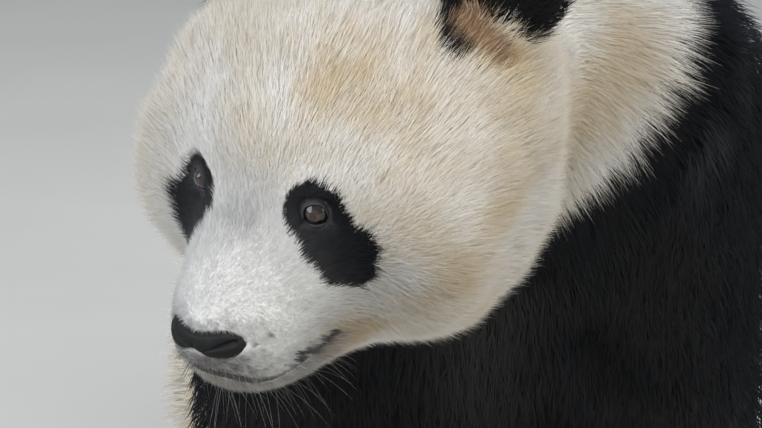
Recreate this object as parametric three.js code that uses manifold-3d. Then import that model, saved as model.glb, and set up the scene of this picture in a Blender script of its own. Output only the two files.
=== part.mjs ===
// Giant panda, life size, standing on all fours with its head lowered and turned to its right.
// Millimetres, +Z up. The panda faces -Y, its left side is +X, and its soles stand on Z = 0.
// Each body part is a closed shell wrapped round a blend of named masses, out to the tips of the coat.
// Neighbouring parts are trimmed against each other, so they meet along a thin cut.

import * as THREE from "three";
import { mergeVertices } from "three/addons/utils/BufferGeometryUtils.js";
import Module from "manifold-3d";

const wasm = await Module();
wasm.setup();

// ---- Driving dimensions ----
const WITHERS_HEIGHT = 735; // top of the shoulders
const BELLY_CLEARANCE = 165; // floor to the lowest belly fur
const SHOULDER_HALF_WIDTH = 212;
const BELLY_HALF_WIDTH = 254;
const FORE_FOOT_Y = -352; // where the front feet stand, along the body
const HIND_FOOT_Y = 372; // where the hind feet stand
const CUT = 0.6; // gap left between neighbouring parts
const SIDES = [["left", 1], ["right", -1]];

// Head, in its own frame: origin between the jaw joints, -Y to the nose, +Z to the crown.
const HEAD_AT = [-84, -636, 565];
const HEAD_TURN = 43.4; // to the panda's right
const HEAD_NOD = 26.1; // nose down
const HEAD_TILT = 6.8; // crown leaning to the panda's left
const EYE_AT = [49.5, -101, 31]; // centre of the left eyeball
const EYE_RADIUS = 11.5;
const MOUTH_CORNER = [-114, -66]; // y and z of the corners of the mouth
const MOUTH_FRONT = [-188, -67]; // y and z of the lip line under the nose
const LIP_GAP = 2.4;

// Feet
const WRIST_HEIGHT = 112;
const HOCK_HEIGHT = 104;
const TOES = 5;
const CLAW = { length: 34, radius: 5.2, bend: 55 };

// ---- Materials ----
const finish = (color, roughness) => new THREE.MeshStandardMaterial({ color, roughness, metalness: 0 });
const whiteFur = finish(0xe4dac6, 0.85);
const blackFur = finish(0x17171a, 0.8);
const noseSkin = finish(0x1b1a1b, 0.45);
const eyeGlaze = finish(0x2a1710, 0.08);
const clawHorn = finish(0x6f675c, 0.4);

// ---- Fields: rough distances in mm, negative inside ----
const point = (place) => new THREE.Vector3(...place);
const mirrored = ([x, y, z], side) => [x * side, y, z];

// A solid ellipsoid with its half sizes, turned by degrees about X, Y and Z.
function mass(centre, halfSizes, turn = [0, 0, 0]) {
  const [a, b, c] = halfSizes;
  const angles = turn.map(THREE.MathUtils.degToRad);
  const toLocal = new THREE.Matrix4().makeRotationFromEuler(new THREE.Euler(...angles));
  toLocal.setPosition(...centre).invert();
  const q = new THREE.Vector3();
  return (place) => {
    q.copy(place).applyMatrix4(toLocal);
    const share = Math.hypot(q.x / a, q.y / b, q.z / c);
    const slope = Math.hypot(q.x / (a * a), q.y / (b * b), q.z / (c * c));
    return share < 1e-6 ? -Math.min(a, b, c) : (share * (share - 1)) / slope;
  };
}

// A limb segment that tapers from one joint to the next.
function limb(from, to, fromRadius, toRadius) {
  const start = point(from);
  const along = point(to).sub(start);
  const q = new THREE.Vector3();
  return (place) => {
    q.copy(place).sub(start);
    const share = THREE.MathUtils.clamp(q.dot(along) / along.lengthSq(), 0, 1);
    return q.addScaledVector(along, -share).length() - THREE.MathUtils.lerp(fromRadius, toRadius, share);
  };
}

// A smooth union: the masses run into each other over about that many mm.
function blend(softness, ...masses) {
  return (place) =>
    masses.map((field) => field(place)).reduce((near, next) => {
      const mix = Math.max(softness - Math.abs(near - next), 0) / softness;
      return Math.min(near, next) - (mix * mix * softness) / 4;
    });
}

const within = (field, limit) => (place) => Math.max(field(place), limit(place));
const without = (field, hole) => (place) => Math.max(field(place), -hole(place));

// ---- Shells and cuts ----
// A capsule laid from one point to another, with each vertex moved along its own ray onto
// the field's surface.
function wrap(field, { from, to, caps, rings, sides, reach, grow = 0 }) {
  const start = point(from);
  const axis = point(to).sub(start);
  const half = axis.length() / 2;
  const capsule = new THREE.CapsuleGeometry(1, 2 * half, caps, sides, rings);
  const middle = start.clone().addScaledVector(axis, 0.5);
  const turn = new THREE.Quaternion().setFromUnitVectors(point([0, 1, 0]), axis.clone().normalize());
  const vertices = capsule.getAttribute("position");
  const origin = new THREE.Vector3();
  const ray = new THREE.Vector3();
  const at = new THREE.Vector3();
  for (let i = 0; i < vertices.count; i++) {
    ray.fromBufferAttribute(vertices, i);
    origin.set(0, THREE.MathUtils.clamp(ray.y, -half, half), 0);
    ray.sub(origin).normalize().applyQuaternion(turn);
    origin.applyQuaternion(turn).add(middle);
    let distance = reach;
    for (let step = 0; step < 90; step++) {
      const left = field(at.copy(origin).addScaledVector(ray, distance)) - grow;
      distance -= 0.8 * left;
      if (Math.abs(left) < 0.01) break;
    }
    at.copy(origin).addScaledVector(ray, Math.max(distance, 1));
    vertices.setXYZ(i, at.x, at.y, at.z);
  }
  return toSolid(capsule);
}

function toSolid(geometry) {
  const bare = geometry.clone();
  bare.deleteAttribute("normal");
  bare.deleteAttribute("uv");
  const merged = mergeVertices(bare, 1e-3);
  const corners = merged.index.array;
  const triVerts = [];
  for (let i = 0; i < corners.length; i += 3) {
    const [a, b, c] = corners.slice(i, i + 3);
    if (a !== b && b !== c && c !== a) triVerts.push(a, b, c);
  }
  const vertProperties = merged.getAttribute("position").array;
  const mesh = { numProp: 3, vertProperties, triVerts: new Uint32Array(triVerts) };
  return new wasm.Manifold(new wasm.Mesh(mesh));
}

function toMesh(name, solid, material) {
  const { vertProperties, triVerts } = solid.simplify(CUT / 3).getMesh();
  const geometry = new THREE.BufferGeometry();
  geometry.setAttribute("position", new THREE.BufferAttribute(vertProperties, 3));
  geometry.setIndex(new THREE.BufferAttribute(triVerts, 1));
  geometry.computeVertexNormals();
  const mesh = new THREE.Mesh(geometry, material);
  mesh.name = name;
  return mesh;
}

// A block that fills everything between two heights.
function slab(low, high, size = 2400) {
  return toSolid(new THREE.BoxGeometry(size, size, high - low).translate(0, 0, (low + high) / 2));
}

const belowFloor = slab(-400, 0);

// An ellipsoid as a cutting tool.
function roundTool({ centre, halfSizes }, grow = 0) {
  const ball = new THREE.SphereGeometry(1, 18, 11).scale(...halfSizes.map((size) => size + grow));
  return toSolid(ball.translate(...centre));
}

// Everything on the side of a plane that its normal points to.
function beyond({ place, normal }, shift = 0) {
  const block = new THREE.BoxGeometry(2400, 2400, 2400).translate(0, 0, 1200 + shift);
  const turn = new THREE.Quaternion().setFromUnitVectors(point([0, 0, 1]), point(normal).normalize());
  block.applyQuaternion(turn);
  return toSolid(block.translate(...place));
}

// ---- Body masses ----
const backTop = WITHERS_HEIGHT - 28;
const flankRadius = 96; // the fat of the lower flank, which hangs to the belly's level
const flankSway = -22; // the belly swings to the side that the head turns to
const bellyHeight = 330; // where the belly is widest

function flank(side) {
  const end = (x, y, lift) => [x * side + flankSway, y, BELLY_CLEARANCE + flankRadius + lift];
  return limb(end(146, -66, 0), end(130, 170, 12), flankRadius, flankRadius);
}

const trunkField = blend(
  90,
  mass([0, 60, 480], [BELLY_HALF_WIDTH - 22, 440, backTop - 480]), // barrel
  mass([0, 0, bellyHeight], [BELLY_HALF_WIDTH - 30, 320, bellyHeight - BELLY_CLEARANCE]), // belly
  ...SIDES.map(([, side]) => flank(side)),
  mass([0, -325, 500], [182, 178, 210]), // chest
  mass([0, -262, WITHERS_HEIGHT - 172], [160, 190, 158]), // withers
  mass([0, 405, 462], [203, 206, 214], [-12, 0, 0]), // rump
);

// A front leg: the shoulder, upper arm and forearm down to its foot.
function foreleg(side) {
  const place = (at) => mirrored(at, side);
  const masses = [
    mass(place([SHOULDER_HALF_WIDTH - 92, -312, 500]), [88, 132, 170], [10, 0, 0]), // shoulder
    limb(place([124, -316, 440]), place([134, -308, 300]), 92, 84), // upper arm
    limb(place([134, -308, 300]), place([140, FORE_FOOT_Y, 120]), 84, 71), // forearm
    mass(place([136, -286, 330]), [64, 84, 78]), // elbow
  ];
  const heel = place([146, FORE_FOOT_Y + 28, 46]);
  const foot = { heel, halfSize: [70, 94, 54], turn: 16 * side, length: 62 };
  const room = { centre: place([170, -338, 318]), halfSizes: [144, 168, 302] };
  return { masses, foot, room, top: place([126, -316, 470]), ankle: place([139, FORE_FOOT_Y, WRIST_HEIGHT]) };
}

function hindleg(side) {
  const place = (at) => mirrored(at, side);
  const masses = [
    mass(place([124, 380, 400]), [98, 160, 180], [-14, 0, 0]), // thigh
    limb(place([146, 300, 290]), place([150, 396, 125]), 100, 74), // shank
    mass(place([150, 412, 120]), [62, 72, 74]), // hock
  ];
  const heel = place([152, HIND_FOOT_Y + 40, 44]);
  const foot = { heel, halfSize: [62, 102, 48], turn: 10 * side, length: 66 };
  const room = { centre: place([170, 372, 290]), halfSizes: [146, 214, 292] };
  return { masses, foot, room, top: place([134, 370, 400]), ankle: place([150, 398, HOCK_HEIGHT]) };
}

// The foot's own frame: -Y to the toes, turned inwards about the vertical.
function footFrame({ heel, turn }) {
  return new THREE.Matrix4().makeRotationZ(-THREE.MathUtils.degToRad(turn)).setPosition(heel[0], heel[1], 0);
}

// Where toe number n points, across the foot from -1 to 1, and the middle of its tip.
function toe(foot, n, frame) {
  const across = (2 * n) / (TOES - 1) - 1;
  const [halfWidth, halfLength] = foot.halfSize;
  const reach = foot.length + halfLength * (0.62 - 0.2 * across ** 2);
  const local = new THREE.Vector3(across * (halfWidth - 15), -reach, 25);
  return { at: local.applyMatrix4(frame), spread: across * 14 };
}

function footMasses(foot) {
  const frame = footFrame(foot);
  const middle = new THREE.Vector3(0, -foot.length / 2, foot.heel[2]).applyMatrix4(frame);
  const toes = Array.from({ length: TOES }, (_, n) => {
    const { at } = toe(foot, n, frame);
    return mass(at.toArray(), [17, 27, 25], [0, 0, -foot.turn]);
  });
  return [mass(middle.toArray(), foot.halfSize, [0, 0, -foot.turn]), ...toes];
}

// A claw: a cone bent downwards, with its root inside the toe.
function claw(foot, n, frame) {
  const cone = new THREE.ConeGeometry(CLAW.radius, CLAW.length, 5, 2);
  cone.translate(0, CLAW.length / 2, 0).scale(0.8, 1, 1.25);
  const vertices = cone.getAttribute("position");
  const bend = THREE.MathUtils.degToRad(CLAW.bend) / CLAW.length;
  for (let i = 0; i < vertices.count; i++) {
    const angle = vertices.getY(i) * bend;
    const radius = 1 / bend + vertices.getZ(i);
    vertices.setXYZ(i, -vertices.getX(i), -radius * Math.sin(angle), radius * Math.cos(angle) - 1 / bend);
  }
  const { at, spread } = toe(foot, n, frame);
  const turn = new THREE.Euler(0, 0, -THREE.MathUtils.degToRad(foot.turn + spread));
  const place = new THREE.Matrix4().makeRotationFromEuler(turn);
  const root = new THREE.Vector3(0, -15, 9).applyMatrix4(place);
  return toSolid(cone.applyMatrix4(place.setPosition(at.add(root))));
}

const forelegs = SIDES.map(([, side]) => foreleg(side));
const hindlegs = SIDES.map(([, side]) => hindleg(side));
const legField = ({ masses, foot }) => blend(30, ...masses, ...footMasses(foot));

// ---- Head, in its own frame ----
const headField = blend(
  42,
  mass([0, 34, 36], [112, 140, 102]), // braincase
  mass([0, -42, 44], [84, 72, 66]), // forehead
  ...SIDES.map(([, side]) => mass(mirrored([92, 18, 40], side), [62, 88, 66])), // temples
  ...SIDES.map(([, side]) => mass(mirrored([86, -6, -24], side), [96, 104, 100])), // cheeks
  mass([0, -4, -70], [98, 94, 62]), // throat
  mass([0, -80, -28], [64, 64, 50]), // root of the muzzle
  mass([0, -120, -33], [48, 74, 43], [12, 0, 0]), // muzzle
  mass([0, -150, -46], [44, 42, 30]), // end of the muzzle
  mass([0, -122, -76], [39, 50, 22]), // chin
);
const headWrap = { from: [0, 44, 4], to: [0, -58, -20], caps: 10, rings: 2, sides: 28, reach: 330 };
const wholeHead = wrap(headField, headWrap);
const roundHead = wrap(headField, { ...headWrap, grow: CUT });

// The block under the lip line, seen from the side, that parts the lower jaw from the head.
function jawBlock(lift, setBack) {
  const [cornerY, cornerZ] = MOUTH_CORNER;
  const [frontY, frontZ] = MOUTH_FRONT;
  const profile = new THREE.Shape();
  profile.moveTo(cornerY + setBack, cornerZ + lift);
  profile.quadraticCurveTo((cornerY + frontY) / 2, cornerZ - 14 + lift, frontY, frontZ + lift);
  profile.lineTo(frontY - 60, frontZ + lift);
  profile.lineTo(frontY - 60, cornerZ - 90);
  profile.lineTo(cornerY + 16 + setBack, cornerZ - 90);
  const block = new THREE.ExtrudeGeometry(profile, { depth: 140, bevelEnabled: false, curveSegments: 8 });
  const standing = new THREE.Matrix4().makeBasis(point([0, 1, 0]), point([0, 0, 1]), point([1, 0, 0]));
  return toSolid(block.translate(0, 0, -70).applyMatrix4(standing));
}

const lowerJaw = wholeHead.intersect(jawBlock(0, 0));

const eyeBall = (side, radius) =>
  toSolid(new THREE.SphereGeometry(radius, 12, 8).translate(...mirrored(EYE_AT, side)));
const noseField = blend(
  8,
  mass([0, -187, -31], [33, 16, 16], [12, 0, 0]), // the pad
  mass([0, -190, -43], [18, 13, 14]), // under the nostrils
);
const noseWrap = { from: [-14, -184, -33], to: [14, -184, -33], caps: 3, rings: 2, sides: 12, reach: 60 };
const nosePad = wrap(noseField, noseWrap);

// The open side of an eye socket: a short cone from the eyeball out through the coat.
function eyeOpening(side) {
  const cone = new THREE.CylinderGeometry(EYE_RADIUS + 2, EYE_RADIUS * 0.76, 26, 12);
  const outward = point(mirrored([0.5, -0.85, 0.1], side)).normalize();
  const turn = new THREE.Quaternion().setFromUnitVectors(point([0, 1, 0]), outward);
  cone.translate(0, 17, 0).applyQuaternion(turn);
  return toSolid(cone.translate(...mirrored(EYE_AT, side)));
}

let skull = wholeHead.subtract(jawBlock(LIP_GAP, CUT)).subtract(wrap(noseField, { ...noseWrap, grow: CUT }));
for (const [, side] of SIDES) {
  skull = skull.subtract(eyeBall(side, EYE_RADIUS + CUT)).subtract(eyeOpening(side));
}

function ear(side, grow = 0) {
  const turn = [-14, 20 * side, 30 * side];
  const lie = new THREE.Euler(...turn.map(THREE.MathUtils.degToRad));
  const centre = point(mirrored([116, 60, 132], side));
  const inEar = (y, z = 0) => new THREE.Vector3(0, y, z).applyEuler(lie).add(centre).toArray();
  const pinna = mass(centre.toArray(), [51, 25, 60], turn);
  const hollow = mass(inEar(-27, 8), [36, 20, 40], turn);
  const earWrap = { from: inEar(9), to: inEar(3), caps: 4, rings: 1, sides: 14, reach: 110 };
  return wrap(without(pinna, hollow), { ...earWrap, grow });
}

const head = new THREE.Group();
head.position.set(...HEAD_AT);
head.rotation.set(
  THREE.MathUtils.degToRad(HEAD_NOD),
  THREE.MathUtils.degToRad(HEAD_TILT),
  THREE.MathUtils.degToRad(-HEAD_TURN),
  "ZXY",
);
head.updateMatrix();
head.add(
  toMesh("head", skull, whiteFur),
  toMesh("lower_jaw", lowerJaw, whiteFur),
  toMesh("nose_pad", nosePad, noseSkin),
);
for (const [name, side] of SIDES) {
  head.add(toMesh(`ear_${name}`, ear(side).subtract(roundHead), blackFur));
  head.add(toMesh(`eye_${name}`, eyeBall(side, EYE_RADIUS), eyeGlaze));
}

// ---- Body, parted into neck, chest, trunk, tail and legs ----
const inBody = (place) => point(place).applyMatrix4(head.matrix).toArray();
const nape = inBody([0, 76, 12]);
const bodyField = blend(
  70,
  trunkField,
  blend(
    50,
    mass([0, -400, 572], [172, 120, 140], [24, 0, 0]),
    limb([-6, -420, 584], nape, 146, 118),
    mass(inBody([-40, 80, -16]), [126, 104, 116]), // ruff
  ),
  ...[...forelegs, ...hindlegs].map(legField),
);
const neckPlane = { place: [0, -434, 560], normal: [-0.1, -0.88, 0.46] };
const bandPlane = { place: [0, -190, 500], normal: [0, -0.985, -0.17] };

// Takes the room of the legs out of a part of the body.
function withoutLegs(solid) {
  return [...forelegs, ...hindlegs].reduce((left, { room }) => left.subtract(roundTool(room, CUT)), solid);
}

const neckRoom = mass([0, -560, 560], [330, 280, 330]);
const neckWrap = { from: [0, -430, 575], to: nape, caps: 4, rings: 3, sides: 22, reach: 330 };
let neck = withoutLegs(wrap(within(bodyField, neckRoom), neckWrap).intersect(beyond(neckPlane)))
  .subtract(roundHead.transform(head.matrix.elements));
for (const [, side] of SIDES) neck = neck.subtract(ear(side, CUT).transform(head.matrix.elements));

const chestField = within(bodyField, ({ z }) => BELLY_CLEARANCE - 6 - z);
const chestWrap = { from: [0, -430, 510], to: [0, -180, 510], caps: 4, rings: 3, sides: 22, reach: 420 };
const wholeChest = wrap(chestField, chestWrap);
const chest = withoutLegs(wholeChest.intersect(beyond(bandPlane, CUT)).subtract(beyond(neckPlane, -CUT)));

const trunkWrap = { from: [0, -280, 490], to: [0, 390, 470], caps: 5, rings: 9, sides: 22, reach: 420 };
const trunk = withoutLegs(wrap(trunkField, trunkWrap).subtract(beyond(bandPlane)));

const tailField = mass([0, 628, 440], [46, 36, 74], [-16, 0, 0]);
const tailWrap = { from: [0, 624, 460], to: [0, 632, 420], caps: 3, rings: 1, sides: 10, reach: 160 };
const tail = wrap(tailField, tailWrap)
  .subtract(wrap(trunkField, { ...trunkWrap, grow: CUT }));

// One leg parted into the leg above the cut, the foot below it and its claws.
function buildLeg(sideName, { masses, foot, room, top, ankle }, { legName, footName, clawName, cutHeight }) {
  const nearby = mass(room.centre, room.halfSizes.map((size) => size + 25));
  const above = within(within(bodyField, nearby), ({ z }) => cutHeight - 25 - z);
  const leg = wrap(above, { from: ankle, to: top, caps: 4, rings: 5, sides: 14, reach: 360 })
    .subtract(slab(-400, cutHeight + CUT / 2))
    .intersect(roundTool(room));
  const frame = footFrame(foot);
  const toes = new THREE.Vector3(0, -foot.length, foot.heel[2]).applyMatrix4(frame).toArray();
  const below = within(legField({ masses, foot }), ({ z }) => z - cutHeight - 25);
  const footWrap = { from: foot.heel, to: toes, caps: 4, rings: 1, sides: 14, reach: 190 };
  const wholeFoot = wrap(below, footWrap).subtract(slab(cutHeight - CUT / 2, 900)).subtract(belowFloor);
  const roundFoot = wrap(below, { ...footWrap, grow: CUT });
  const parts = [
    toMesh(`${legName}_${sideName}`, leg, blackFur),
    toMesh(`${footName}_${sideName}`, wholeFoot, blackFur),
  ];
  for (let n = 0; n < TOES; n++) {
    const horn = claw(foot, n, frame).subtract(roundFoot).subtract(belowFloor);
    parts.push(toMesh(`${clawName}_${sideName}_${n + 1}`, horn, clawHorn));
  }
  return parts;
}

const forelegNames = { legName: "foreleg", footName: "forepaw", clawName: "fore_claw", cutHeight: WRIST_HEIGHT };
const hindlegNames = { legName: "hind_leg", footName: "hind_foot", clawName: "hind_claw", cutHeight: HOCK_HEIGHT };

// ---- Assembly ----
const panda = new THREE.Group();
panda.add(toMesh("trunk", trunk, whiteFur), toMesh("chest", chest, blackFur), toMesh("neck", neck, whiteFur));
panda.add(toMesh("tail", tail, whiteFur), head);
SIDES.forEach(([name], i) => {
  panda.add(...buildLeg(name, forelegs[i], forelegNames), ...buildLeg(name, hindlegs[i], hindlegNames));
});

// The origin is on the floor, under the middle of the panda's outline.
const bounds = new THREE.Box3().setFromObject(panda, true);
const centre = bounds.getCenter(new THREE.Vector3());
panda.position.set(-centre.x, -centre.y, 0);

const model = new THREE.Group();
model.add(panda);

export default model;
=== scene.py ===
# %% [markdown]
# # A giant panda, life size
# This lesson dresses a museum-style model of a giant panda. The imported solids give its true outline,
# out to the tips of the coat. Blender adds what the eye reads as an animal: a hide without seams, moist
# eyes behind their lids, a leathery nose, horn claws, and a coat of many small closed tufts.
# The solids are loaded first and never move. Every piece takes its place from them.

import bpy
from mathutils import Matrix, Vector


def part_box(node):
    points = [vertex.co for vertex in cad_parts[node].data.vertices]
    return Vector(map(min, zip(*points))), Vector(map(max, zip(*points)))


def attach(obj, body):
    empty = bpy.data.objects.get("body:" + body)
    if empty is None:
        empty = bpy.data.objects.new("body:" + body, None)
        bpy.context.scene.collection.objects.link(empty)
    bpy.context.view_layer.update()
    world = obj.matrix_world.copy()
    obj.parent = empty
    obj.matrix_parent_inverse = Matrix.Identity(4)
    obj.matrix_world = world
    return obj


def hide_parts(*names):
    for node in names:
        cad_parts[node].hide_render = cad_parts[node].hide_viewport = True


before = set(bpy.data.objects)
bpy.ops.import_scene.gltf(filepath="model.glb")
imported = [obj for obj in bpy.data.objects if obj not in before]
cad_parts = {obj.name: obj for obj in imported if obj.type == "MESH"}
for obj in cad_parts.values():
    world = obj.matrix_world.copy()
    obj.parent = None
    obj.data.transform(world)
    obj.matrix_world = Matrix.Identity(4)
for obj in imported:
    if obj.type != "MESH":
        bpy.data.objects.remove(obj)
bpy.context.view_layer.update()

# %% [markdown]
# ## Tools of the trade
# Numpy moves thousands of vertices at once, bmesh makes and cuts shapes, and a BVH tree finds the nearest
# or the facing surface. Two small helpers turn a bmesh, or an object with a modifier, into a plain mesh.

# %% Tools of the trade
import math
from types import SimpleNamespace

import bmesh
import bpy
import numpy as np
from mathutils import Matrix, Vector
from mathutils.bvhtree import BVHTree

MM = 0.001
SIDES = {"left": 1, "right": -1}


def mesh_from(shape, name):
    """The bmesh as a mesh of that name; the bmesh is freed."""
    mesh = bpy.data.meshes.new(name)
    shape.to_mesh(mesh)
    shape.free()
    return mesh


def baked_mesh(helper):
    """The helper object's modifiers or curve as a plain mesh; the helper goes."""
    ready = helper.evaluated_get(bpy.context.evaluated_depsgraph_get())
    mesh = bpy.data.meshes.new_from_object(ready)
    bpy.data.objects.remove(helper)
    return mesh


# %% [markdown]
# ## The head's own frame
# A face is easier to shape when it is straight. The head is turned, nodded and tilted on the body, so
# this cell works out its frame: the origin between the jaw joints, -Y to the nose, +Z to the crown.
# The two eyes say where it is, and three angles say how it is turned, as a taxidermist would note them.

# %% Head frame
HEAD_TURN, HEAD_NOD, HEAD_TILT = (math.radians(angle) for angle in (43.4, 26.1, 6.8))
EYE_AT = Vector((49.5, -101, 31))  # centre of the left eyeball, in mm
NOSE_AT = np.array((0, -196, -36))  # tip of the nose, in mm

turned = Matrix.Rotation(-HEAD_TURN, 3, "Z") @ Matrix.Rotation(HEAD_NOD, 3, "X")
head_axes = turned @ Matrix.Rotation(HEAD_TILT, 3, "Y")


def middle(name):
    """The middle of a solid's box."""
    low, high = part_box(name)
    return (low + high) / 2


between_eyes = (middle("eye_left") + middle("eye_right")) / 2
head_origin = between_eyes - head_axes @ Vector((0, EYE_AT.y, EYE_AT.z)) * MM
HEAD_AXES = np.array(head_axes)
HEAD_ORIGIN = np.array(head_origin)


def in_head(points):
    """Row-frame points in metres as head-frame points in mm."""
    return (points - HEAD_ORIGIN) @ HEAD_AXES / MM


def from_head(points):
    """Head-frame points in mm as row-frame points in metres."""
    return np.asarray(points, float) @ HEAD_AXES.T * MM + HEAD_ORIGIN


eye_radius = (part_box("eye_left")[1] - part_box("eye_left")[0])[2] / 2 / MM
print("head at", [round(v, 4) for v in head_origin], "eye radius", round(eye_radius, 2), "mm")

# %% [markdown]
# ## Camera
# A long lens a few metres away flattens the head, as a portrait of an animal usually does. It stands
# straight before the body and looks down on the lowered head, which turns to the animal's right.

# %% Camera
CAMERA_AWAY = 3.5
CAMERA_HEIGHT = math.radians(12)
LENS, SENSOR = 235, 36  # mm
AIM = Vector((0.0118, -0.0099, -0.0466))  # from the head's origin

camera_data = bpy.data.cameras.new("portrait_lens")
camera_data.lens = LENS
camera_data.sensor_width = SENSOR
camera = bpy.data.objects.new("camera", camera_data)
back = Vector((0, -math.cos(CAMERA_HEIGHT), math.sin(CAMERA_HEIGHT)))
camera.location = head_origin + AIM + back * CAMERA_AWAY
camera.rotation_euler = back.to_track_quat("Z", "Y").to_euler()
bpy.context.scene.collection.objects.link(camera)
bpy.context.scene.camera = camera
print("camera at", [round(v, 2) for v in camera.location])

# %% [markdown]
# ## Nodes and colours
# Every finish below is a small node tree. One function adds a node, with its settings and its links,
# and one turns the sRGB hex colours that a painter would pick into the linear values that light needs.

# %% Material helpers


def linear(code):
    """An sRGB hex colour as a linear RGBA tuple."""
    shares = [int(code[i : i + 2], 16) / 255 for i in (0, 2, 4)]
    return tuple(s / 12.92 if s < 0.04045 else ((s + 0.055) / 1.055) ** 2.4 for s in shares) + (1,)


def add_node(tree, kind, settings=None, links=None):
    """Adds a node, sets its properties or sockets, and links other sockets into it."""
    made = tree.nodes.new(kind)
    for name, value in (settings or {}).items():
        if isinstance(name, str) and hasattr(made, name):
            setattr(made, name, value)
        else:
            made.inputs[name].default_value = value
    for name, socket in (links or {}).items():
        tree.links.new(socket, made.inputs[name])
    return made


def new_material(name):
    """An empty node material and its tree."""
    material = bpy.data.materials.new(name)
    material.use_nodes = True
    material.node_tree.nodes.clear()
    return material, material.node_tree


def finish_material(tree, shader):
    """Links the shader to a new output, which completes the finish."""
    add_node(tree, "ShaderNodeOutputMaterial", links={"Surface": shader.outputs[0]})


print("a middle grey is", round(linear("808080")[0], 3), "of the light")

# %% [markdown]
# ## Floor and light
# The stage is a plain pale floor and plain soft light, so that nothing competes with the fur. A wide
# key lamp stands high in front, a cool one fills from the animal's right, a low one lights its left
# cheek, one behind parts the back from the ground, and a pale sky wraps round. Fur needs large lamps:
# small ones make every tuft sparkle.

# %% Floor
FLOOR_SIZE = 40

floor_shape = bmesh.new()
bmesh.ops.create_grid(floor_shape, x_segments=2, y_segments=2, size=FLOOR_SIZE / 2)
floor_mesh = mesh_from(floor_shape, "floor")
floor = bpy.data.objects.new("floor", floor_mesh)
bpy.context.scene.collection.objects.link(floor)

plaster, tree = new_material("matt_plaster_floor")  # trowelled plaster: pale, matt, faintly cloudy
place = add_node(tree, "ShaderNodeTexCoord")
cloud = add_node(tree, "ShaderNodeTexNoise", {"Scale": 3, "Detail": 4}, {"Vector": place.outputs["Object"]})
tone = add_node(
    tree,
    "ShaderNodeMix",
    {"data_type": "RGBA", 6: linear("B9B7B0"), 7: linear("C4C2BC")},
    {0: cloud.outputs[0]},
)
shader = add_node(tree, "ShaderNodeBsdfPrincipled", {"Roughness": 0.9}, {"Base Color": tone.outputs[2]})
finish_material(tree, shader)
floor_mesh.materials.append(plaster)
print("floor", FLOOR_SIZE, "m wide")

# %% Lights
SKY_STRENGTH = 0.62


def add_lamp(name, place, power, size, colour):
    """A square area lamp that looks at the head."""
    lamp = bpy.data.lights.new(name, "AREA")
    lamp.energy = power
    lamp.size = size
    lamp.color = linear(colour)[:3]
    stand = bpy.data.objects.new(name, lamp)
    stand.location = head_origin + Vector(place)
    stand.rotation_euler = Vector(place).to_track_quat("Z", "Y").to_euler()
    bpy.context.scene.collection.objects.link(stand)


add_lamp("key_lamp", (0.25, -1.9, 2.9), 94, 2.6, "FFFFFF")
add_lamp("fill_lamp", (-2.8, -1.2, 1.4), 70, 2.4, "F0F5FF")
add_lamp("low_lamp", (2.4, -1.8, 0.8), 42, 2.0, "FFFFFF")
add_lamp("back_lamp", (0.8, 2.6, 2.2), 40, 2.4, "F2F5FF")

world = bpy.data.worlds.new("pale_sky")
world.use_nodes = True
sky = world.node_tree.nodes["Background"]
sky.inputs["Color"].default_value = linear("E3EAF2")
sky.inputs["Strength"].default_value = SKY_STRENGTH
bpy.context.scene.world = world
bpy.context.scene.view_settings.view_transform = "Standard"  # softer transforms turn a white coat grey
print("four lamps and a pale sky of strength", SKY_STRENGTH)

# %% [markdown]
# ## The hide
# Under the coat a panda has one hide. The solids are parted where a person names the parts, so their
# copies are swollen by a hair, joined and remeshed into one closed skin, and smoothed until no facet
# shows. The eyeballs and the nose pad fill their own openings for now; lids are shaped over them later.

# %% Array helpers
LATTICE = 32  # cells of random values along each side of the noise


def smooth_step(value, start, end):
    """0 before start, 1 after end, and a soft curve between."""
    share = np.clip((value - start) / (end - start), 0, 1)
    return share * share * (3 - 2 * share)


def unit(vectors):
    """The vectors at a length of one."""
    return vectors / np.maximum(np.linalg.norm(vectors, axis=-1, keepdims=True), 1e-12)


def noise(points, size, seed):
    """Smooth noise from -1 to 1 on points, with random values on a lattice of that size."""
    table = np.random.default_rng(seed).uniform(-1, 1, (LATTICE, LATTICE, LATTICE))
    spot = points / size
    base = np.floor(spot).astype(int)
    share = smooth_step(spot - base, 0, 1)
    total = np.zeros(len(points))
    for corner in np.ndindex(2, 2, 2):
        weight = np.prod(np.where(corner, share, 1 - share), axis=1)
        x, y, z = ((base + corner) % LATTICE).T
        total += weight * table[x, y, z]
    return total


# %% Meshes as arrays
def read_points(mesh):
    """The vertices' places as rows."""
    points = np.empty(len(mesh.vertices) * 3, np.float32)
    mesh.vertices.foreach_get("co", points)
    return points.reshape(-1, 3).astype(float)


def write_points(mesh, points):
    """Moves the vertices to these rows."""
    mesh.vertices.foreach_set("co", points.astype(np.float32).ravel())
    mesh.update()


def read_normals(mesh):
    """The vertices' normals as rows."""
    normals = np.empty(len(mesh.vertices) * 3, np.float32)
    mesh.vertex_normals.foreach_get("vector", normals)
    return normals.reshape(-1, 3).astype(float)


def read_edges(mesh):
    """The two vertices of each edge, by number."""
    edges = np.empty(len(mesh.edges) * 2, np.int32)
    mesh.edges.foreach_get("vertices", edges)
    return edges.reshape(-1, 2)


# %% Relaxing and soft spots
def relax(values, edges, rounds, share=0.5):
    """Moves each vertex's values part of the way to its neighbours' mean, again and again."""
    values = values.reshape(len(values), -1).copy()
    share = np.broadcast_to(np.asarray(share, float).reshape(-1, 1), (len(values), 1))
    first, second = edges.T
    count = np.maximum(np.bincount(edges.ravel(), minlength=len(values)), 1)
    for _ in range(rounds):
        for column in values.T:
            total = np.bincount(first, column[second], len(values))
            total += np.bincount(second, column[first], len(values))
            column += share[:, 0] * (total / count - column)
    return values.squeeze()


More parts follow.
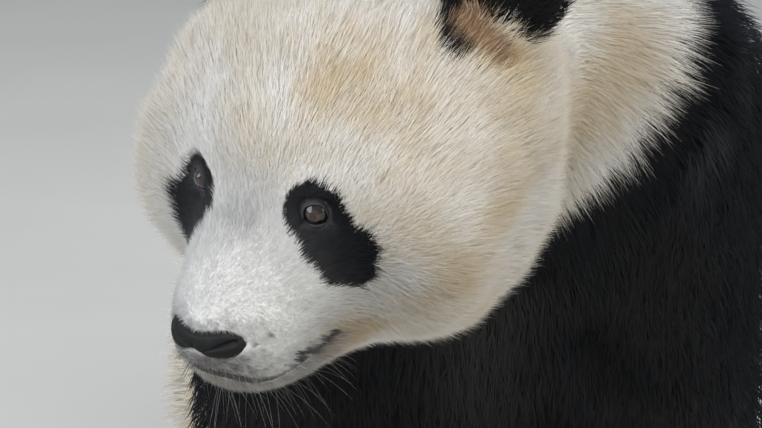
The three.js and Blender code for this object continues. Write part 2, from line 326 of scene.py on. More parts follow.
def round_spot(points, spot, radius):
    """1 at the spot and a soft fall to 0 round it."""
    return np.exp(-((np.linalg.norm(points - spot, axis=1) / radius) ** 2))


# %% Pieces
def add_piece(name, mesh, nodes=()):
    """Links a finished mesh as a piece of the panda that stands for these solids."""
    piece = bpy.data.objects.new(name, mesh)
    bpy.context.scene.collection.objects.link(piece)
    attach(piece, "root")
    if nodes:
        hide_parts(*nodes)
    return piece


# %% Joined solids
SWELL = 0.9 * MM  # closes the thin cuts between the solids
WELD = 0.02 * MM

flesh = sorted(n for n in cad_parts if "claw" not in n and "eye" not in n and n != "nose_pad")
filled = flesh + ["eye_left", "eye_right", "nose_pad"]


def joined_copy(names, swell):
    """One bmesh with merged copies of these solids, each pushed out by a hair."""
    joined = bmesh.new()
    for name in names:
        part = bmesh.new()
        part.from_mesh(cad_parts[name].data)
        bmesh.ops.remove_doubles(part, verts=part.verts, dist=WELD)
        part.normal_update()
        outward = [v.normal * swell for v in part.verts]
        for vertex, step in zip(part.verts, outward):
            vertex.co += step
        swollen = mesh_from(part, name + "_copy")
        joined.from_mesh(swollen)
        bpy.data.meshes.remove(swollen)
    return joined


# %% Remeshing
def remeshed(shape, name, voxel):
    """The bmesh remeshed in voxels."""
    rough = mesh_from(shape, name)
    helper = bpy.data.objects.new(name, rough)
    bpy.context.scene.collection.objects.link(helper)
    remesh = helper.modifiers.new("remesh", "REMESH")
    remesh.mode = "VOXEL"
    remesh.voxel_size = voxel
    mesh = baked_mesh(helper)
    bpy.data.meshes.remove(rough)
    mesh.name = name
    return mesh


# %% Loose shells
def keep_outer_shells(mesh, smallest):
    """Deletes loose shells with fewer vertices than the smallest that is wanted."""
    edges = read_edges(mesh)
    label = np.arange(len(mesh.vertices))
    while True:
        before = label.copy()
        np.minimum.at(label, edges[:, 0], label[edges[:, 1]])
        np.minimum.at(label, edges[:, 1], label[edges[:, 0]])
        label = label[label]
        if (label == before).all():
            break
    size = np.bincount(label, minlength=len(label))[label]
    shape = bmesh.new()
    shape.from_mesh(mesh)
    shape.verts.ensure_lookup_table()
    loose = [shape.verts[i] for i in np.flatnonzero(size < smallest)]
    bmesh.ops.delete(shape, geom=loose, context="VERTS")
    shape.to_mesh(mesh)
    shape.free()
    return len(loose)


# %% The first form of the hide
HIDE_VOXEL = 8.5 * MM
SMALLEST_SHELL = 2000  # vertices; smaller shells are crumbs inside the body

hide_mesh = remeshed(joined_copy(filled, SWELL), "hide", HIDE_VOXEL)
dropped = keep_outer_shells(hide_mesh, SMALLEST_SHELL)
print("hide", len(hide_mesh.polygons), "faces,", dropped, "loose vertices dropped")

# %% [markdown]
# ## How deep the coat is
# Long fur stands a few centimetres off a panda's neck and only millimetres off its muzzle. A table
# gives the depth of each part, nearest solid by nearest solid, and smoothing blends the steps. On the
# head the depth grows with the distance from the nose. The hide then sinks by that depth in small steps,
# and is fitted to it. A few places are fuller or leaner than their solid, where its form is too simple.

# %% Coat depths
COAT_DEPTH = {  # how far the tips stand off the hide, in mm
    "trunk": 20, "chest": 20, "neck": 21, "tail": 18, "head": 12, "lower_jaw": 5, "ear": 6,
    "foreleg": 13, "forepaw": 6, "hind_leg": 15, "hind_foot": 6, "eye": 3, "nose_pad": 3,
}
PARTS = list(COAT_DEPTH)
HEAD_PARTS = ("head", "lower_jaw", "eye", "nose_pad")
SHAPING = (  # where the head is fuller or leaner than its solid: head-frame mm, radius, mm outwards
    ((180, -8, -70), 84, -41),  # the left cheek is stretched back by the turned neck
    ((180, 34, -8), 62, -16),
    ((150, 74, 42), 50, 5),
    ((132, -90, 5), 45, 6),
    ((-132, -90, 5), 50, 7),
)
FLANK_HEIGHT = (0.12, 0.24, 0.30, 0.37, 0.50, 0.66)  # heights over the ground, in m
FLANK_SHAPE = (0, 7, -8, -30, -26, 0)  # mm outwards there: flanks are full low down and lean above
FLANK_MIDDLE, FLANK_LENGTH = 0.02, 0.24  # along the body, in m
FULL_SHOULDER = 13  # mm by which the left shoulder and its leg are fuller than the sunk solid
print("coat from", min(COAT_DEPTH.values()), "to", max(COAT_DEPTH.values()), "mm deep")


# %% Nearest parts
def part_of(name):
    """The part's name without its side."""
    return name.replace("_left", "").replace("_right", "")


def nearest_parts(points):
    """For each point, the number in PARTS of the solid that is nearest."""
    corners, faces, owners = [], [], []
    for name in filled:
        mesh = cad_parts[name].data
        start = len(corners)
        corners += [v.co for v in mesh.vertices]
        faces += [[start + i for i in p.vertices] for p in mesh.polygons]
        owners += [PARTS.index(part_of(name))] * len(mesh.polygons)
    tree = BVHTree.FromPolygons(corners, faces)
    return np.array([owners[tree.find_nearest(p)[2]] for p in points])


# %% Places on the head
def mirrored(h):
    """Head-frame points, with those of the right side flipped to the left."""
    return np.stack((np.abs(h[:, 0]), h[:, 1], h[:, 2]), axis=1)


def close_to(h, spot, radius):
    """1 at a spot of the head, on both sides, and a soft fall to 0 round it."""
    return round_spot(mirrored(h), spot, radius)


def to_nose(h):
    """How far head-frame points are from the tip of the nose, in mm."""
    return np.linalg.norm(h - NOSE_AT, axis=1)


def to_eye(h):
    """How far head-frame points are from the nearer eyeball's centre, in mm."""
    return np.linalg.norm(mirrored(h) - np.array(EYE_AT), axis=1)


# %% Depth by place and part
def head_depth(h):
    """The coat's depth over the head in mm, from head-frame points."""
    depth = 2.2 + 10 * smooth_step(to_nose(h), 45, 230)
    depth += 8 * smooth_step(np.abs(h[:, 0]), 92, 150) * smooth_step(h[:, 1], -100, -30)
    depth += 6 * smooth_step(h[:, 1], 40, 95) * smooth_step(np.abs(h[:, 0]), 50, 90)
    return depth * (0.4 + 0.6 * smooth_step(to_eye(h), 22, 60))


def is_part(labels, *names):
    """Where the nearest solid is one of these parts."""
    return np.isin(labels, [PARTS.index(name) for name in names])


def per_part(table, labels):
    """The table's value of the part that is nearest, for each vertex."""
    return np.array([table[name] for name in PARTS], float)[labels]


# %% Depth under a surface
def mesh_tree(mesh):
    """A tree that finds the nearest spot of the mesh."""
    return BVHTree.FromPolygons([v.co for v in mesh.vertices], [list(p.vertices) for p in mesh.polygons])


def depth_under(tree, points):
    """How deep the points lie under a closed surface, in mm."""
    depths = []
    for point in points:
        spot, facing, _, gap = tree.find_nearest(point)
        depths.append(math.copysign(gap / MM, (spot - Vector(point)).dot(facing)))
    return np.array(depths)


# %% Smoothing the hide
SMOOTHING_ROUNDS = 26

outline_tree = mesh_tree(hide_mesh)
points = read_points(hide_mesh)
edges = read_edges(hide_mesh)
labels = nearest_parts(points)
crisp = is_part(labels, "ear", "forepaw", "hind_foot", "lower_jaw", "eye", "nose_pad")
soft = np.where(crisp, 0.15, 0.5)  # thin and finely formed parts are smoothed least
soft = np.minimum(soft, 0.12 + 0.38 * smooth_step(to_nose(in_head(points)), 60, 170))
points = relax(points, edges, SMOOTHING_ROUNDS, relax(soft, edges, 4))
write_points(hide_mesh, points)
print(len(points), "vertices smoothed")

# %% Sinking the hide
SINKING_STEPS = 6

on_head = is_part(labels, *HEAD_PARTS)
depth = per_part(COAT_DEPTH, labels)
depth[on_head] = head_depth(in_head(points[on_head]))
depth = relax(depth, edges, 8)
for _ in range(SINKING_STEPS):
    points -= read_normals(hide_mesh) * depth[:, None] * MM / SINKING_STEPS
    points = relax(points, edges, 1, 0.25)
    write_points(hide_mesh, points)
print("coat depth from", round(depth.min(), 1), "to", round(depth.max(), 1), "mm")

# %% Fitting the hide under the outline
FITTING_STEPS = 3

h = in_head(points)
shaping = on_head * sum(step * round_spot(h, spot, radius) for spot, radius, step in SHAPING)
flank = smooth_step(np.abs(points[:, 0]), 0.08, 0.2) * np.interp(points[:, 2], FLANK_HEIGHT, FLANK_SHAPE)
flank *= np.exp(-(((points[:, 1] - FLANK_MIDDLE) / FLANK_LENGTH) ** 2))
outside = smooth_step(points[:, 0], 0.1, 0.16) * smooth_step(points[:, 2], 0.12, 0.25)
shaping += flank * is_part(labels, "trunk") + FULL_SHOULDER * outside * is_part(labels, "foreleg")
shaping = relax(shaping, edges, 12)
for _ in range(FITTING_STEPS):
    error = relax(depth_under(outline_tree, points) - depth + shaping, edges, 3)
    points += read_normals(hide_mesh) * error[:, None] * MM
    points = relax(points, edges, 2, 0.3)
    write_points(hide_mesh, points)
print("fitted within", round(np.abs(error).mean(), 2), "mm on average")

# %% [markdown]
# ## A finer mesh where the face needs it
# Eight millimetres between vertices is enough under long fur, but lids and lips need less than one.
# Subdividing only the edges inside a region keeps the whole hide in one piece. Each finer region is
# relaxed a little, since a split edge lies flat until its new vertex follows the curve.

# %% Regions of the face
MOUTH_Y = (-210, -199, -193, -180, -168, -154, -128, -108)  # the lip line, from front to corner
MOUTH_Z = (-51, -52.5, -57, -68, -69, -65.5, -58, -50)


def above_mouth(h):
    """Height over the lip line in mm, for head-frame points."""
    return h[:, 2] - np.interp(h[:, 1], MOUTH_Y, MOUTH_Z)


def in_face(h):
    """The whole head in front of the neck."""
    return (h[:, 1] < 130) & (np.linalg.norm(h, axis=1) < 225)


def in_fine_face(h):
    """The nose, the lips and the eyes with their surroundings."""
    nose = np.linalg.norm(h - (0, -180, -50), axis=1) < 52
    lips = (np.abs(above_mouth(h)) < 16) & (h[:, 1] < -100)
    return nose | lips | (to_eye(h) < 34)


def in_finest_face(h):
    """The lip line, the rim of the nose pad and the lids."""
    lips = (np.abs(above_mouth(h)) < 7) & (h[:, 1] < -104) & (h[:, 1] > -204)
    pad_rim = (np.abs(in_pad(h)) < 4) & (h[:, 1] < -168)
    return lips | pad_rim | (to_eye(h) < 22)


# %% Edge of the nose pad
# The bare pad of the nose, seen from the front: heights of its two edges at these distances from the
# middle. Its lower edge is notched at the philtrum.
PAD_X = (0, 6, 12, 16, 20, 24, 27.5, 30, 31.8, 33.6)
PAD_TOP = (-22.4, -21.8, -21.2, -20.8, -20.8, -21.8, -23.6, -25.4, -27.4, -30.6)
PAD_BOTTOM = (-33.4, -35.8, -38.0, -39.0, -39.4, -39.4, -38.8, -37.4, -35.8, -33.0)


def in_pad(h):
    """How far inside the nose pad's edge a head-frame point is, in mm, seen from the front."""
    x = np.abs(h[:, 0])
    top = np.interp(x, PAD_X, PAD_TOP) - h[:, 2]
    bottom = h[:, 2] - np.interp(x, PAD_X, PAD_BOTTOM)
    return np.minimum(np.minimum(top, bottom), PAD_X[-1] - x)


# %% Refining
def refine(mesh, wanted):
    """Splits the edges whose two ends are wanted, then relaxes the region."""
    inside = wanted(in_head(read_points(mesh)))
    shape = bmesh.new()
    shape.from_mesh(mesh)
    chosen = [e for e in shape.edges if inside[e.verts[0].index] and inside[e.verts[1].index]]
    bmesh.ops.subdivide_edges(shape, edges=chosen, cuts=1, use_grid_fill=True)
    shape.to_mesh(mesh)
    shape.free()
    points = read_points(mesh)
    share = 0.4 * wanted(in_head(points))
    write_points(mesh, relax(points, read_edges(mesh), 3, share))


for region in (in_face, in_fine_face, in_finest_face):
    refine(hide_mesh, region)
    print(region.__name__, "makes", len(hide_mesh.polygons), "faces")

# %% [markdown]
# ## Lids
# A panda's eye is small and round, with a tear corner that dips to the nose. The opening is a curve in
# the eye's own plane: across, up, and outward along the eye's axis. Round it the hide drops away under
# the ball, and a lid of closely set loops takes its place: a rounded rim on the ball, a fold above,
# and then the form of the face itself, found by casting rays at the hide.

# %% Eye frames
EYE_OUTWARD = Vector((0.5, -0.85, 0.1))
OPENING_ACROSS, OPENING_UP, OPENING_DOWN = 8.4, 8.6, 7.6
SQUARENESS = 2.3  # 2 would make the opening a plain ellipse
TEAR_ANGLE, TEAR_REACH, TEAR_WIDTH = math.radians(212), 3.8, 0.3
OUTER_ANGLE, OUTER_REACH, OUTER_WIDTH = math.radians(-34), 1.3, 0.35


def eye_frame(side):
    """The eye's centre in the head and its axes as rows: across to the temple, up, and outward."""
    centre = np.array((EYE_AT.x * side, EYE_AT.y, EYE_AT.z))
    outward = Vector((EYE_OUTWARD.x * side, EYE_OUTWARD.y, EYE_OUTWARD.z)).normalized()
    across = Vector((0, 0, 1)).cross(outward).normalized() * side
    up = outward.cross(across).normalized() * side
    return centre, np.array((across, up, outward))


def opening_radius(angle):
    """How far the lids' edge is from the eye's axis at this angle, from the temple over the top."""
    half = np.where(np.sin(angle) > 0, OPENING_UP, OPENING_DOWN)
    wide = np.abs(np.cos(angle) / OPENING_ACROSS) ** SQUARENESS
    high = np.abs(np.sin(angle) / half) ** SQUARENESS
    oval = (wide + high) ** (-1 / SQUARENESS)
    tear = TEAR_REACH * np.exp(-(((angle % math.tau) - TEAR_ANGLE) ** 2) / TEAR_WIDTH**2)
    turned = (angle + math.pi) % math.tau - math.pi
    return oval + tear + OUTER_REACH * np.exp(-((turned - OUTER_ANGLE) ** 2) / OUTER_WIDTH**2)


centre, axes = eye_frame(1)
print("left eye axes", axes.round(2).tolist())

# %% Lids over the balls
LID_LOOPS = (  # distance past the edge, radius from the ball's centre, share of the face's own form
    (-0.9, 10.6, 0), (-0.3, 11.5, 0), (0.0, 12.2, 0), (0.35, 12.75, 0), (0.9, 13.0, 0), (1.6, 12.95, 0),
    (2.3, 12.6, 0), (2.8, 12.75, 0), (3.5, 13.4, 0.08), (4.6, 13.9, 0.25), (5.8, 14.0, 0.5),
    (7.2, 14.0, 0.75), (8.8, 14.0, 0.95), (10.6, 14.0, 1.08),
)
LID_STEPS = 72
LEAST_HEIGHT = 3  # mm, where a loop is wider than its ball
RAY_START = 60  # mm in front of the face
TUCK = 1.6  # mm by which the last loop lies under the hide


def face_tree(mesh):
    """A ray-casting tree of the hide in the head's frame."""
    points = in_head(read_points(mesh))
    return BVHTree.FromPolygons(points.tolist(), [list(p.vertices) for p in mesh.polygons])


def build_lids(side, tree, shape):
    """Adds one eye's lids to the bmesh, in head-frame mm."""
    centre, axes = eye_frame(side)
    outward = Vector(axes[2])
    loops = []
    for past, radius, share in LID_LOOPS:
        loop = []
        for angle in np.arange(LID_STEPS) / LID_STEPS * math.tau:
            reach = opening_radius(angle) + past
            across, up = reach * math.cos(angle), reach * math.sin(angle)
            height = math.sqrt(max(radius**2 - reach**2, LEAST_HEIGHT**2))
            if share:
                start = Vector(centre + across * axes[0] + up * axes[1]) + outward * RAY_START
                hit = tree.ray_cast(start, -outward)[0]
                face = (hit - Vector(centre)).dot(outward)
                sink = TUCK if share > 1 else 0.4 * share
                height += (face - sink - height) * min(share, 1)
            loop.append(shape.verts.new(centre + across * axes[0] + up * axes[1] + height * axes[2]))
        loops.append(loop)
    for inner, outer in zip(loops, loops[1:]):
        for i in range(LID_STEPS):
            j = (i + 1) % LID_STEPS
            corners = (inner[i], outer[i], outer[j], inner[j])
            shape.faces.new(corners if side > 0 else corners[::-1])


# %% Both eyes' lids
lid_shape = bmesh.new()
tree = face_tree(hide_mesh)
for side in SIDES.values():
    build_lids(side, tree, lid_shape)
lid_mesh = mesh_from(lid_shape, "lids")
write_points(lid_mesh, from_head(read_points(lid_mesh)))
print("lids", len(lid_mesh.polygons), "faces")

# %% The hide sinks under the lids
SUNK_RADIUS = 9.5  # mm from the ball's centre, so inside the ball
LID_PLACE = 26  # mm, the reach of this step round each ball

points = read_points(hide_mesh)
h = in_head(points)
for side in SIDES.values():
    centre, axes = eye_frame(side)
    local = (h - centre) @ axes.T
    near = (np.linalg.norm(local, axis=1) < LID_PLACE) & (local[:, 2] > 0)
    reach = np.hypot(local[:, 0], local[:, 1])
    past = reach - opening_radius(np.arctan2(local[:, 1], local[:, 0]))
    pull = near * (1 - smooth_step(past, 4.5, 8.5))
    sunk = local / np.linalg.norm(local, axis=1, keepdims=True) * SUNK_RADIUS
    local += pull[:, None] * (sunk - local)
    h = np.where(near[:, None], local @ axes + centre, h)
print(int((np.linalg.norm(h - in_head(points), axis=1) > 0.1).sum()), "hide vertices sunk under the lids")

# %% [markdown]
# ## Eyes
# An eye is a ball with a second, smaller dome on it, the cornea, which is what makes it glint. The ball is
# a sphere turned to the gaze, with the dome pushed out of it. A flat map seen along the gaze carries the
# iris, so that its rings stay round. A ball may turn under its lids, so it is a piece of its own.

# %% Eyes
EYE_SEGMENTS = 48
IRIS_RADIUS = 5.8
CORNEA_RISE = 0.9
CORNEA_EDGE = (0.35, 1.15)  # where the dome starts and ends, in iris radii
IRIS_MAP = 20  # mm across the flat map
GAZE = (-0.1, 0.09, 1)  # across, up and outward in the eye's frame


def build_eye(name, side):
    """A ball with a raised cornea, and a flat map of it seen along the gaze."""
    centre, axes = eye_frame(side)
    gaze = Vector(np.array(GAZE) @ axes).normalized()
    shape = bmesh.new()
    bmesh.ops.create_uvsphere(shape, u_segments=EYE_SEGMENTS, v_segments=EYE_SEGMENTS, radius=eye_radius)
    turn = gaze.to_track_quat("Z", "Y").to_matrix()
    mapping = shape.loops.layers.uv.new("iris")
    inner, outer = (IRIS_RADIUS * share for share in CORNEA_EDGE)
    for vertex in shape.verts:
        off_axis = math.hypot(vertex.co.x, vertex.co.y)
        if vertex.co.z > 0:
            rise = CORNEA_RISE * float(1 - smooth_step(off_axis, inner, outer))
            vertex.co += vertex.co.normalized() * rise
    for face in shape.faces:
        for loop in face.loops:
            x, y, z = loop.vert.co
            loop[mapping].uv = (0.5 + x / IRIS_MAP, 0.5 + y / IRIS_MAP) if z > 0 else (0, 0)
    bmesh.ops.rotate(shape, verts=shape.verts, matrix=turn)
    mesh = mesh_from(shape, name)
    write_points(mesh, from_head(read_points(mesh) + centre))
    mesh.shade_smooth()
    return add_piece(name, mesh, [name])


eyes = {side: build_eye(f"eye_{side}", number) for side, number in SIDES.items()}
print("eyes", sum(len(piece.data.polygons) for piece in eyes.values()), "faces")

# %% [markdown]
# ## Tear film
# A living eye is wet, and a line of tears lies along the lower lid where it meets the ball. It is a
# hair-thin round bead on a curve: a curve's bevel makes such a bead at once, and its mesh is kept.

# %% Tear film
TEAR_LINE = 0.28  # mm, the radius of the wet line on the lower lid
TEAR_FROM, TEAR_TO, TEAR_STEPS = 195, 345, 40  # degrees round the opening
TEAR_INSET, TEAR_RISE = 0.15, 0.15  # mm inside the lid's edge and over the ball


def build_tear_film(name, side):
    """A thin wet line that lies between the lower lid and the ball."""
    centre, axes = eye_frame(side)
    path = bpy.data.curves.new(name, "CURVE")
    path.dimensions = "3D"
    path.bevel_depth = TEAR_LINE * MM
    path.bevel_resolution = 2
    path.use_fill_caps = True
    angles = np.radians(np.linspace(TEAR_FROM, TEAR_TO, TEAR_STEPS))
    reach = opening_radius(angles) - TEAR_INSET
    height = np.sqrt(eye_radius**2 - reach**2) + TEAR_RISE
    places = centre + np.stack((reach * np.cos(angles), reach * np.sin(angles), height), axis=1) @ axes
    spline = path.splines.new("POLY")
    spline.points.add(len(angles) - 1)
    for point, place in zip(spline.points, from_head(places)):
        point.co = (*place, 1)
    helper = bpy.data.objects.new(name, path)
    bpy.context.scene.collection.objects.link(helper)
    mesh = baked_mesh(helper)
    mesh.name = name
    mesh.shade_smooth()
    return add_piece(name, mesh)


tear_films = [build_tear_film(f"tear_film_{side}", number) for side, number in SIDES.items()]
print("tear films", sum(len(piece.data.polygons) for piece in tear_films), "faces")

# %% [markdown]
# ## Lips
# The mouth is closed: a groove runs from under the nose back to the corners, with the lower lip set
# a little behind the upper one. It is pressed into the hide as a sculptor would press a wire, by
# moving vertices towards the middle of the head by how near they are to the lip line.

# %% Lips
GROOVE_DEPTH, GROOVE_WIDTH = 5.2, 1.8
CHIN_RISE = 4.5  # mm, a shallow chin close under the lip
MOUTH_MIDDLE = np.array((0, -120, -40))  # the lips are pressed towards this spot inside the head

height = above_mouth(h)
reach = smooth_step(-h[:, 1], 126, 146) * (h[:, 1] > -204)
gape = GROOVE_WIDTH + 0.9 * smooth_step(-h[:, 1], 135, 170)  # the lips part a little in front
groove = GROOVE_DEPTH * np.exp(-((height / gape) ** 2))
lower_lip = 1.6 * smooth_step(-height, 0, 2.5) * (1 - smooth_step(-height, 7, 16))
upper_lip = -0.9 * np.exp(-(((height - 4) / 3) ** 2))
outwards = unit(h - MOUTH_MIDDLE)
h -= outwards * (reach * (groove + lower_lip + upper_lip))[:, None]
h[:, 2] += CHIN_RISE * smooth_step(-height, 5, 16) * smooth_step(-h[:, 1], 90, 140) * (h[:, 2] > -150)
write_points(hide_mesh, from_head(h))
print("lips shaped at", int((reach > 0).sum()), "vertices")

# %% [markdown]
# ## Nose pad
# The pad is bare leather with a sharp rim: fur overhangs its upper edge, a crease parts its lower edge
# and each nostril is a slit that opens to the side. A fine grid is laid on the front of the muzzle by
# rays, raised inside the rim and sunk outside it, and the nostrils are pressed in. A block behind it
# closes the shape. The hide then sinks under the pad.

# %% Relief of the nose pad
SLIT_X = (6.5, 10, 14, 20, 26, 31)
SLIT_Z = (-34.0, -32.4, -31.0, -29.2, -28.2, -28.6)


def pad_relief(h):
    """How far the leather stands in front of the muzzle, in mm."""
    x = np.abs(h[:, 0])
    relief = -4.5 + 6.6 * smooth_step(in_pad(h), -2.0, 2.4) + 0.5 * smooth_step(in_pad(h), 2, 8)
    off_slit = h[:, 2] - np.interp(x, SLIT_X, SLIT_Z)
    opening = 0.9 + 0.9 * smooth_step(x, 14, 27)
    depth = (1.8 + 2.6 * smooth_step(x, 12, 25)) * smooth_step(x, 5, 9) * (1 - smooth_step(x, 28.5, 32.0))
    relief -= depth * np.exp(-((off_slit / opening) ** 2))
    relief += 0.4 * np.exp(-(((off_slit + 4.2) / 2.6) ** 2)) * smooth_step(x, 6, 12)
    crease = np.exp(-((h[:, 0] / 1.1) ** 2)) * smooth_step(-h[:, 2], 25, 31)
    return relief - 1.3 * crease


# %% Rays at the muzzle
BEFORE_NOSE, MISSED = -260, -150  # head-frame y where the rays start, and for a ray that misses


def lay_on_muzzle(tree, x, z):
    """The head-frame y of the muzzle's front at x and z."""
    hit = tree.ray_cast(Vector((x, BEFORE_NOSE, z)), Vector((0, 1, 0)))[0]
    return hit.y if hit else MISSED


# %% Block of the nose pad
GRID_STEP = 0.6
GRID_HALF_WIDTH, GRID_LOW, GRID_HIGH = 38, -43, -16
BLOCK_DEPTH = 14

muzzle_tree = face_tree(hide_mesh)
block = bmesh.new()
columns = int(2 * GRID_HALF_WIDTH / GRID_STEP)
rows = int((GRID_HIGH - GRID_LOW) / GRID_STEP)
bmesh.ops.create_grid(block, x_segments=columns, y_segments=rows, size=1)
front = list(block.verts)
wall = bmesh.ops.extrude_face_region(block, geom=block.faces[:], use_keep_orig=True)
back_verts = {v for v in wall["geom"] if isinstance(v, bmesh.types.BMVert)}
for vertex in block.verts:
    x = vertex.co.x * GRID_HALF_WIDTH
    z = GRID_LOW + (vertex.co.y + 1) / 2 * (GRID_HIGH - GRID_LOW)
    vertex.co = (x, lay_on_muzzle(muzzle_tree, x, z) + BLOCK_DEPTH * (vertex in back_verts), z)
bmesh.ops.recalc_face_normals(block, faces=block.faces)
bmesh.ops.triangulate(block, faces=block.faces)
block.verts.index_update()
is_front = np.zeros(len(block.verts), bool)
is_front[[v.index for v in front]] = True
print("nose block", len(block.faces), "triangles")

# %% Leather of the nose pad
nose_mesh = mesh_from(block, "nose_leather")
pad_points = read_points(nose_mesh)
pad_points = relax(pad_points, read_edges(nose_mesh), 6, 0.5 * is_front)
pad_points[:, 1] -= pad_relief(pad_points) * is_front
pad_points = relax(pad_points, read_edges(nose_mesh), 2, 0.5 * is_front)
write_points(nose_mesh, from_head(pad_points))
nose_mesh.shade_smooth()
add_piece("nose_leather", nose_mesh, ["nose_pad"])
print("nose", len(nose_mesh.polygons), "faces")

# %% The hide sinks under the pad
SEAT_DEPTH = 3.2
MUZZLE_END = -165  # head-frame y that parts the front of the muzzle from its sides

front_of_muzzle = h[:, 1] < MUZZLE_END
h[:, 1] += SEAT_DEPTH * smooth_step(in_pad(h), -1.4, 1.4) * front_of_muzzle
write_points(hide_mesh, from_head(h))
print(int(front_of_muzzle.sum()), "vertices in front of the muzzle")

# %% Hide and lids as one mesh
shape = bmesh.new()
shape.from_mesh(hide_mesh)
shape.from_mesh(lid_mesh)
bmesh.ops.triangulate(shape, faces=shape.faces)
shape.to_mesh(hide_mesh)
shape.free()
hide_mesh.shade_smooth()
print("hide with lids:", len(hide_mesh.polygons), "triangles")
hide = add_piece("hide", hide_mesh, flesh)

# %% [markdown]
# ## Claws
# Twenty curved claws come out of the fur of the toes. Their solids have the right shape but hard facets,
# so merged copies are remeshed finely and relaxed, which gives horn its smooth worn round.

# %% Claws
CLAW_VOXEL = 1.1 * MM

claws = sorted(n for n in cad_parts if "claw" in n)
claw_mesh = remeshed(joined_copy(claws, 0), "claws", CLAW_VOXEL)
write_points(claw_mesh, relax(read_points(claw_mesh), read_edges(claw_mesh), 6))
claw_mesh.shade_smooth()
add_piece("claws", claw_mesh, claws)
print("claws", len(claw_mesh.polygons), "faces")

# %% [markdown]
# ## Markings
# The same functions colour the hide and the coat, so a bald spot never shows a wrong colour. Each
# marking is a simple shape on the body: a leaning drop round each eye, the ears, and a dark yoke from
# the front legs over the shoulders. Noise frays their edges, because hair never ends on a line.

# %% Markings
PATCH_TOP, PATCH_LOW = np.array((55, 41)), np.array((82, 0))  # x and z of the drop's two ends, in mm
PATCH_RADIUS, PATCH_TAPER = 20.5, 1.2
PATCH_BULGE, BULGE_RADIUS = np.array((86, 11)), 18
FAR_PATCH = (3, 0.5, 5)  # mm by which the right drop is lower, narrower and nearer the middle
PATCH_END, FAR_AWAY = -60, 99  # the drops are only on the face, in front of this head-frame y
COLLAR_HEIGHT = (0.30, 0.48, 0.527, 0.576, 0.612, 0.64, 0.76)  # where the white neck ends, in m
COLLAR_PLACE = (-0.62, -0.47, -0.434, -0.411, -0.373, -0.34, -0.262)
YOKE_END = -0.150  # the back edge of the yoke over the shoulders
BLACK_PARTS = ("ear", "foreleg", "forepaw", "hind_leg", "hind_foot")
MOUTH_CORNER = ((53, -150, -59), (60, -126, -58))  # lines on the head, in mm
EAR_OPENING = ((100, 39, 120), (116, 46, 90))
EAR_FRONT = ((84, 30, 134), (103, 22, 106))


def eye_patch(h):
    """Distance in mm out of the dark drops round the eyes, negative inside them."""
    far = h[:, 0] < 0
    flat = np.stack((np.abs(h[:, 0]) + FAR_PATCH[2] * far, h[:, 2] + FAR_PATCH[0] * far), axis=1)
    along = PATCH_LOW - PATCH_TOP
    share = np.clip((flat - PATCH_TOP) @ along / (along @ along), 0, 1)
    away = np.linalg.norm(flat - PATCH_TOP - share[:, None] * along, axis=1)
    away += PATCH_TAPER * share - PATCH_RADIUS
    away = np.minimum(away, np.linalg.norm(flat - PATCH_BULGE, axis=1) - BULGE_RADIUS)
    return np.where(h[:, 1] < PATCH_END, away + FAR_PATCH[1] * far, FAR_AWAY)


def yoke(points):
    """Distance in mm out of the dark yoke, legs not counted."""
    front = np.interp(points[:, 2], COLLAR_HEIGHT, COLLAR_PLACE) - points[:, 1]
    rear = points[:, 1] - (YOKE_END + 0.1 * (0.5 - points[:, 2]))
    return np.maximum(front, rear) / MM


# %% Ears and mouth corners
def from_line(h, start, end):
    """Distance in mm from the line between two spots of the head, on both sides."""
    start, end = np.array(start, float), np.array(end, float)
    along = end - start
    share = np.clip((mirrored(h) - start) @ along / (along @ along), 0, 1)
    return np.linalg.norm(mirrored(h) - start - share[:, None] * along, axis=1)


def ear_opening(h):
    """Distance in mm out of the rusty hair at the ear's front root."""
    return from_line(h, *EAR_OPENING) - 10


# %% Black or white
def blackness(points, dark_share, head_share):
    """1 where the coat is black and 0 where it is white."""
    h = in_head(points)
    fray = noise(points, 9 * MM, 3)
    fine_fray = noise(points, 3 * MM, 4)
    patch = eye_patch(h) + 1.2 * fray + 1.0 * fine_fray
    body = yoke(points) + 9 * fray + 12 * noise(points, 40 * MM, 5)
    mouth_corner = from_line(h, *MOUTH_CORNER) - 6.5 + 9 * fine_fray
    ear_front = from_line(h, *EAR_FRONT) - 9 + 2 * fine_fray
    dark = np.where(head_share > 0.5, np.minimum(patch, mouth_corner) < 0, body < 0)
    dark |= (dark_share + 0.3 * fray > 0.44) | (ear_front < 0)
    return (dark & (ear_opening(h) + 2 * fine_fray > 0)).astype(float)


# %% Stains and smudges
COLLAR_TAN_SPOTS = ((0.126, -0.461, 0.602), (0.094, -0.533, 0.583))  # where the neck's fur is tan, in m
COLLAR_TAN_SIZE = 0.045
WHISKER_SPOTS = ((47, -168, -31), (44, -170, -23), (50, -160, -37), (41, -178, -33))
MOST_TAN, MOST_RUST = 0.8, 1.4  # over 1 the tan turns to rust


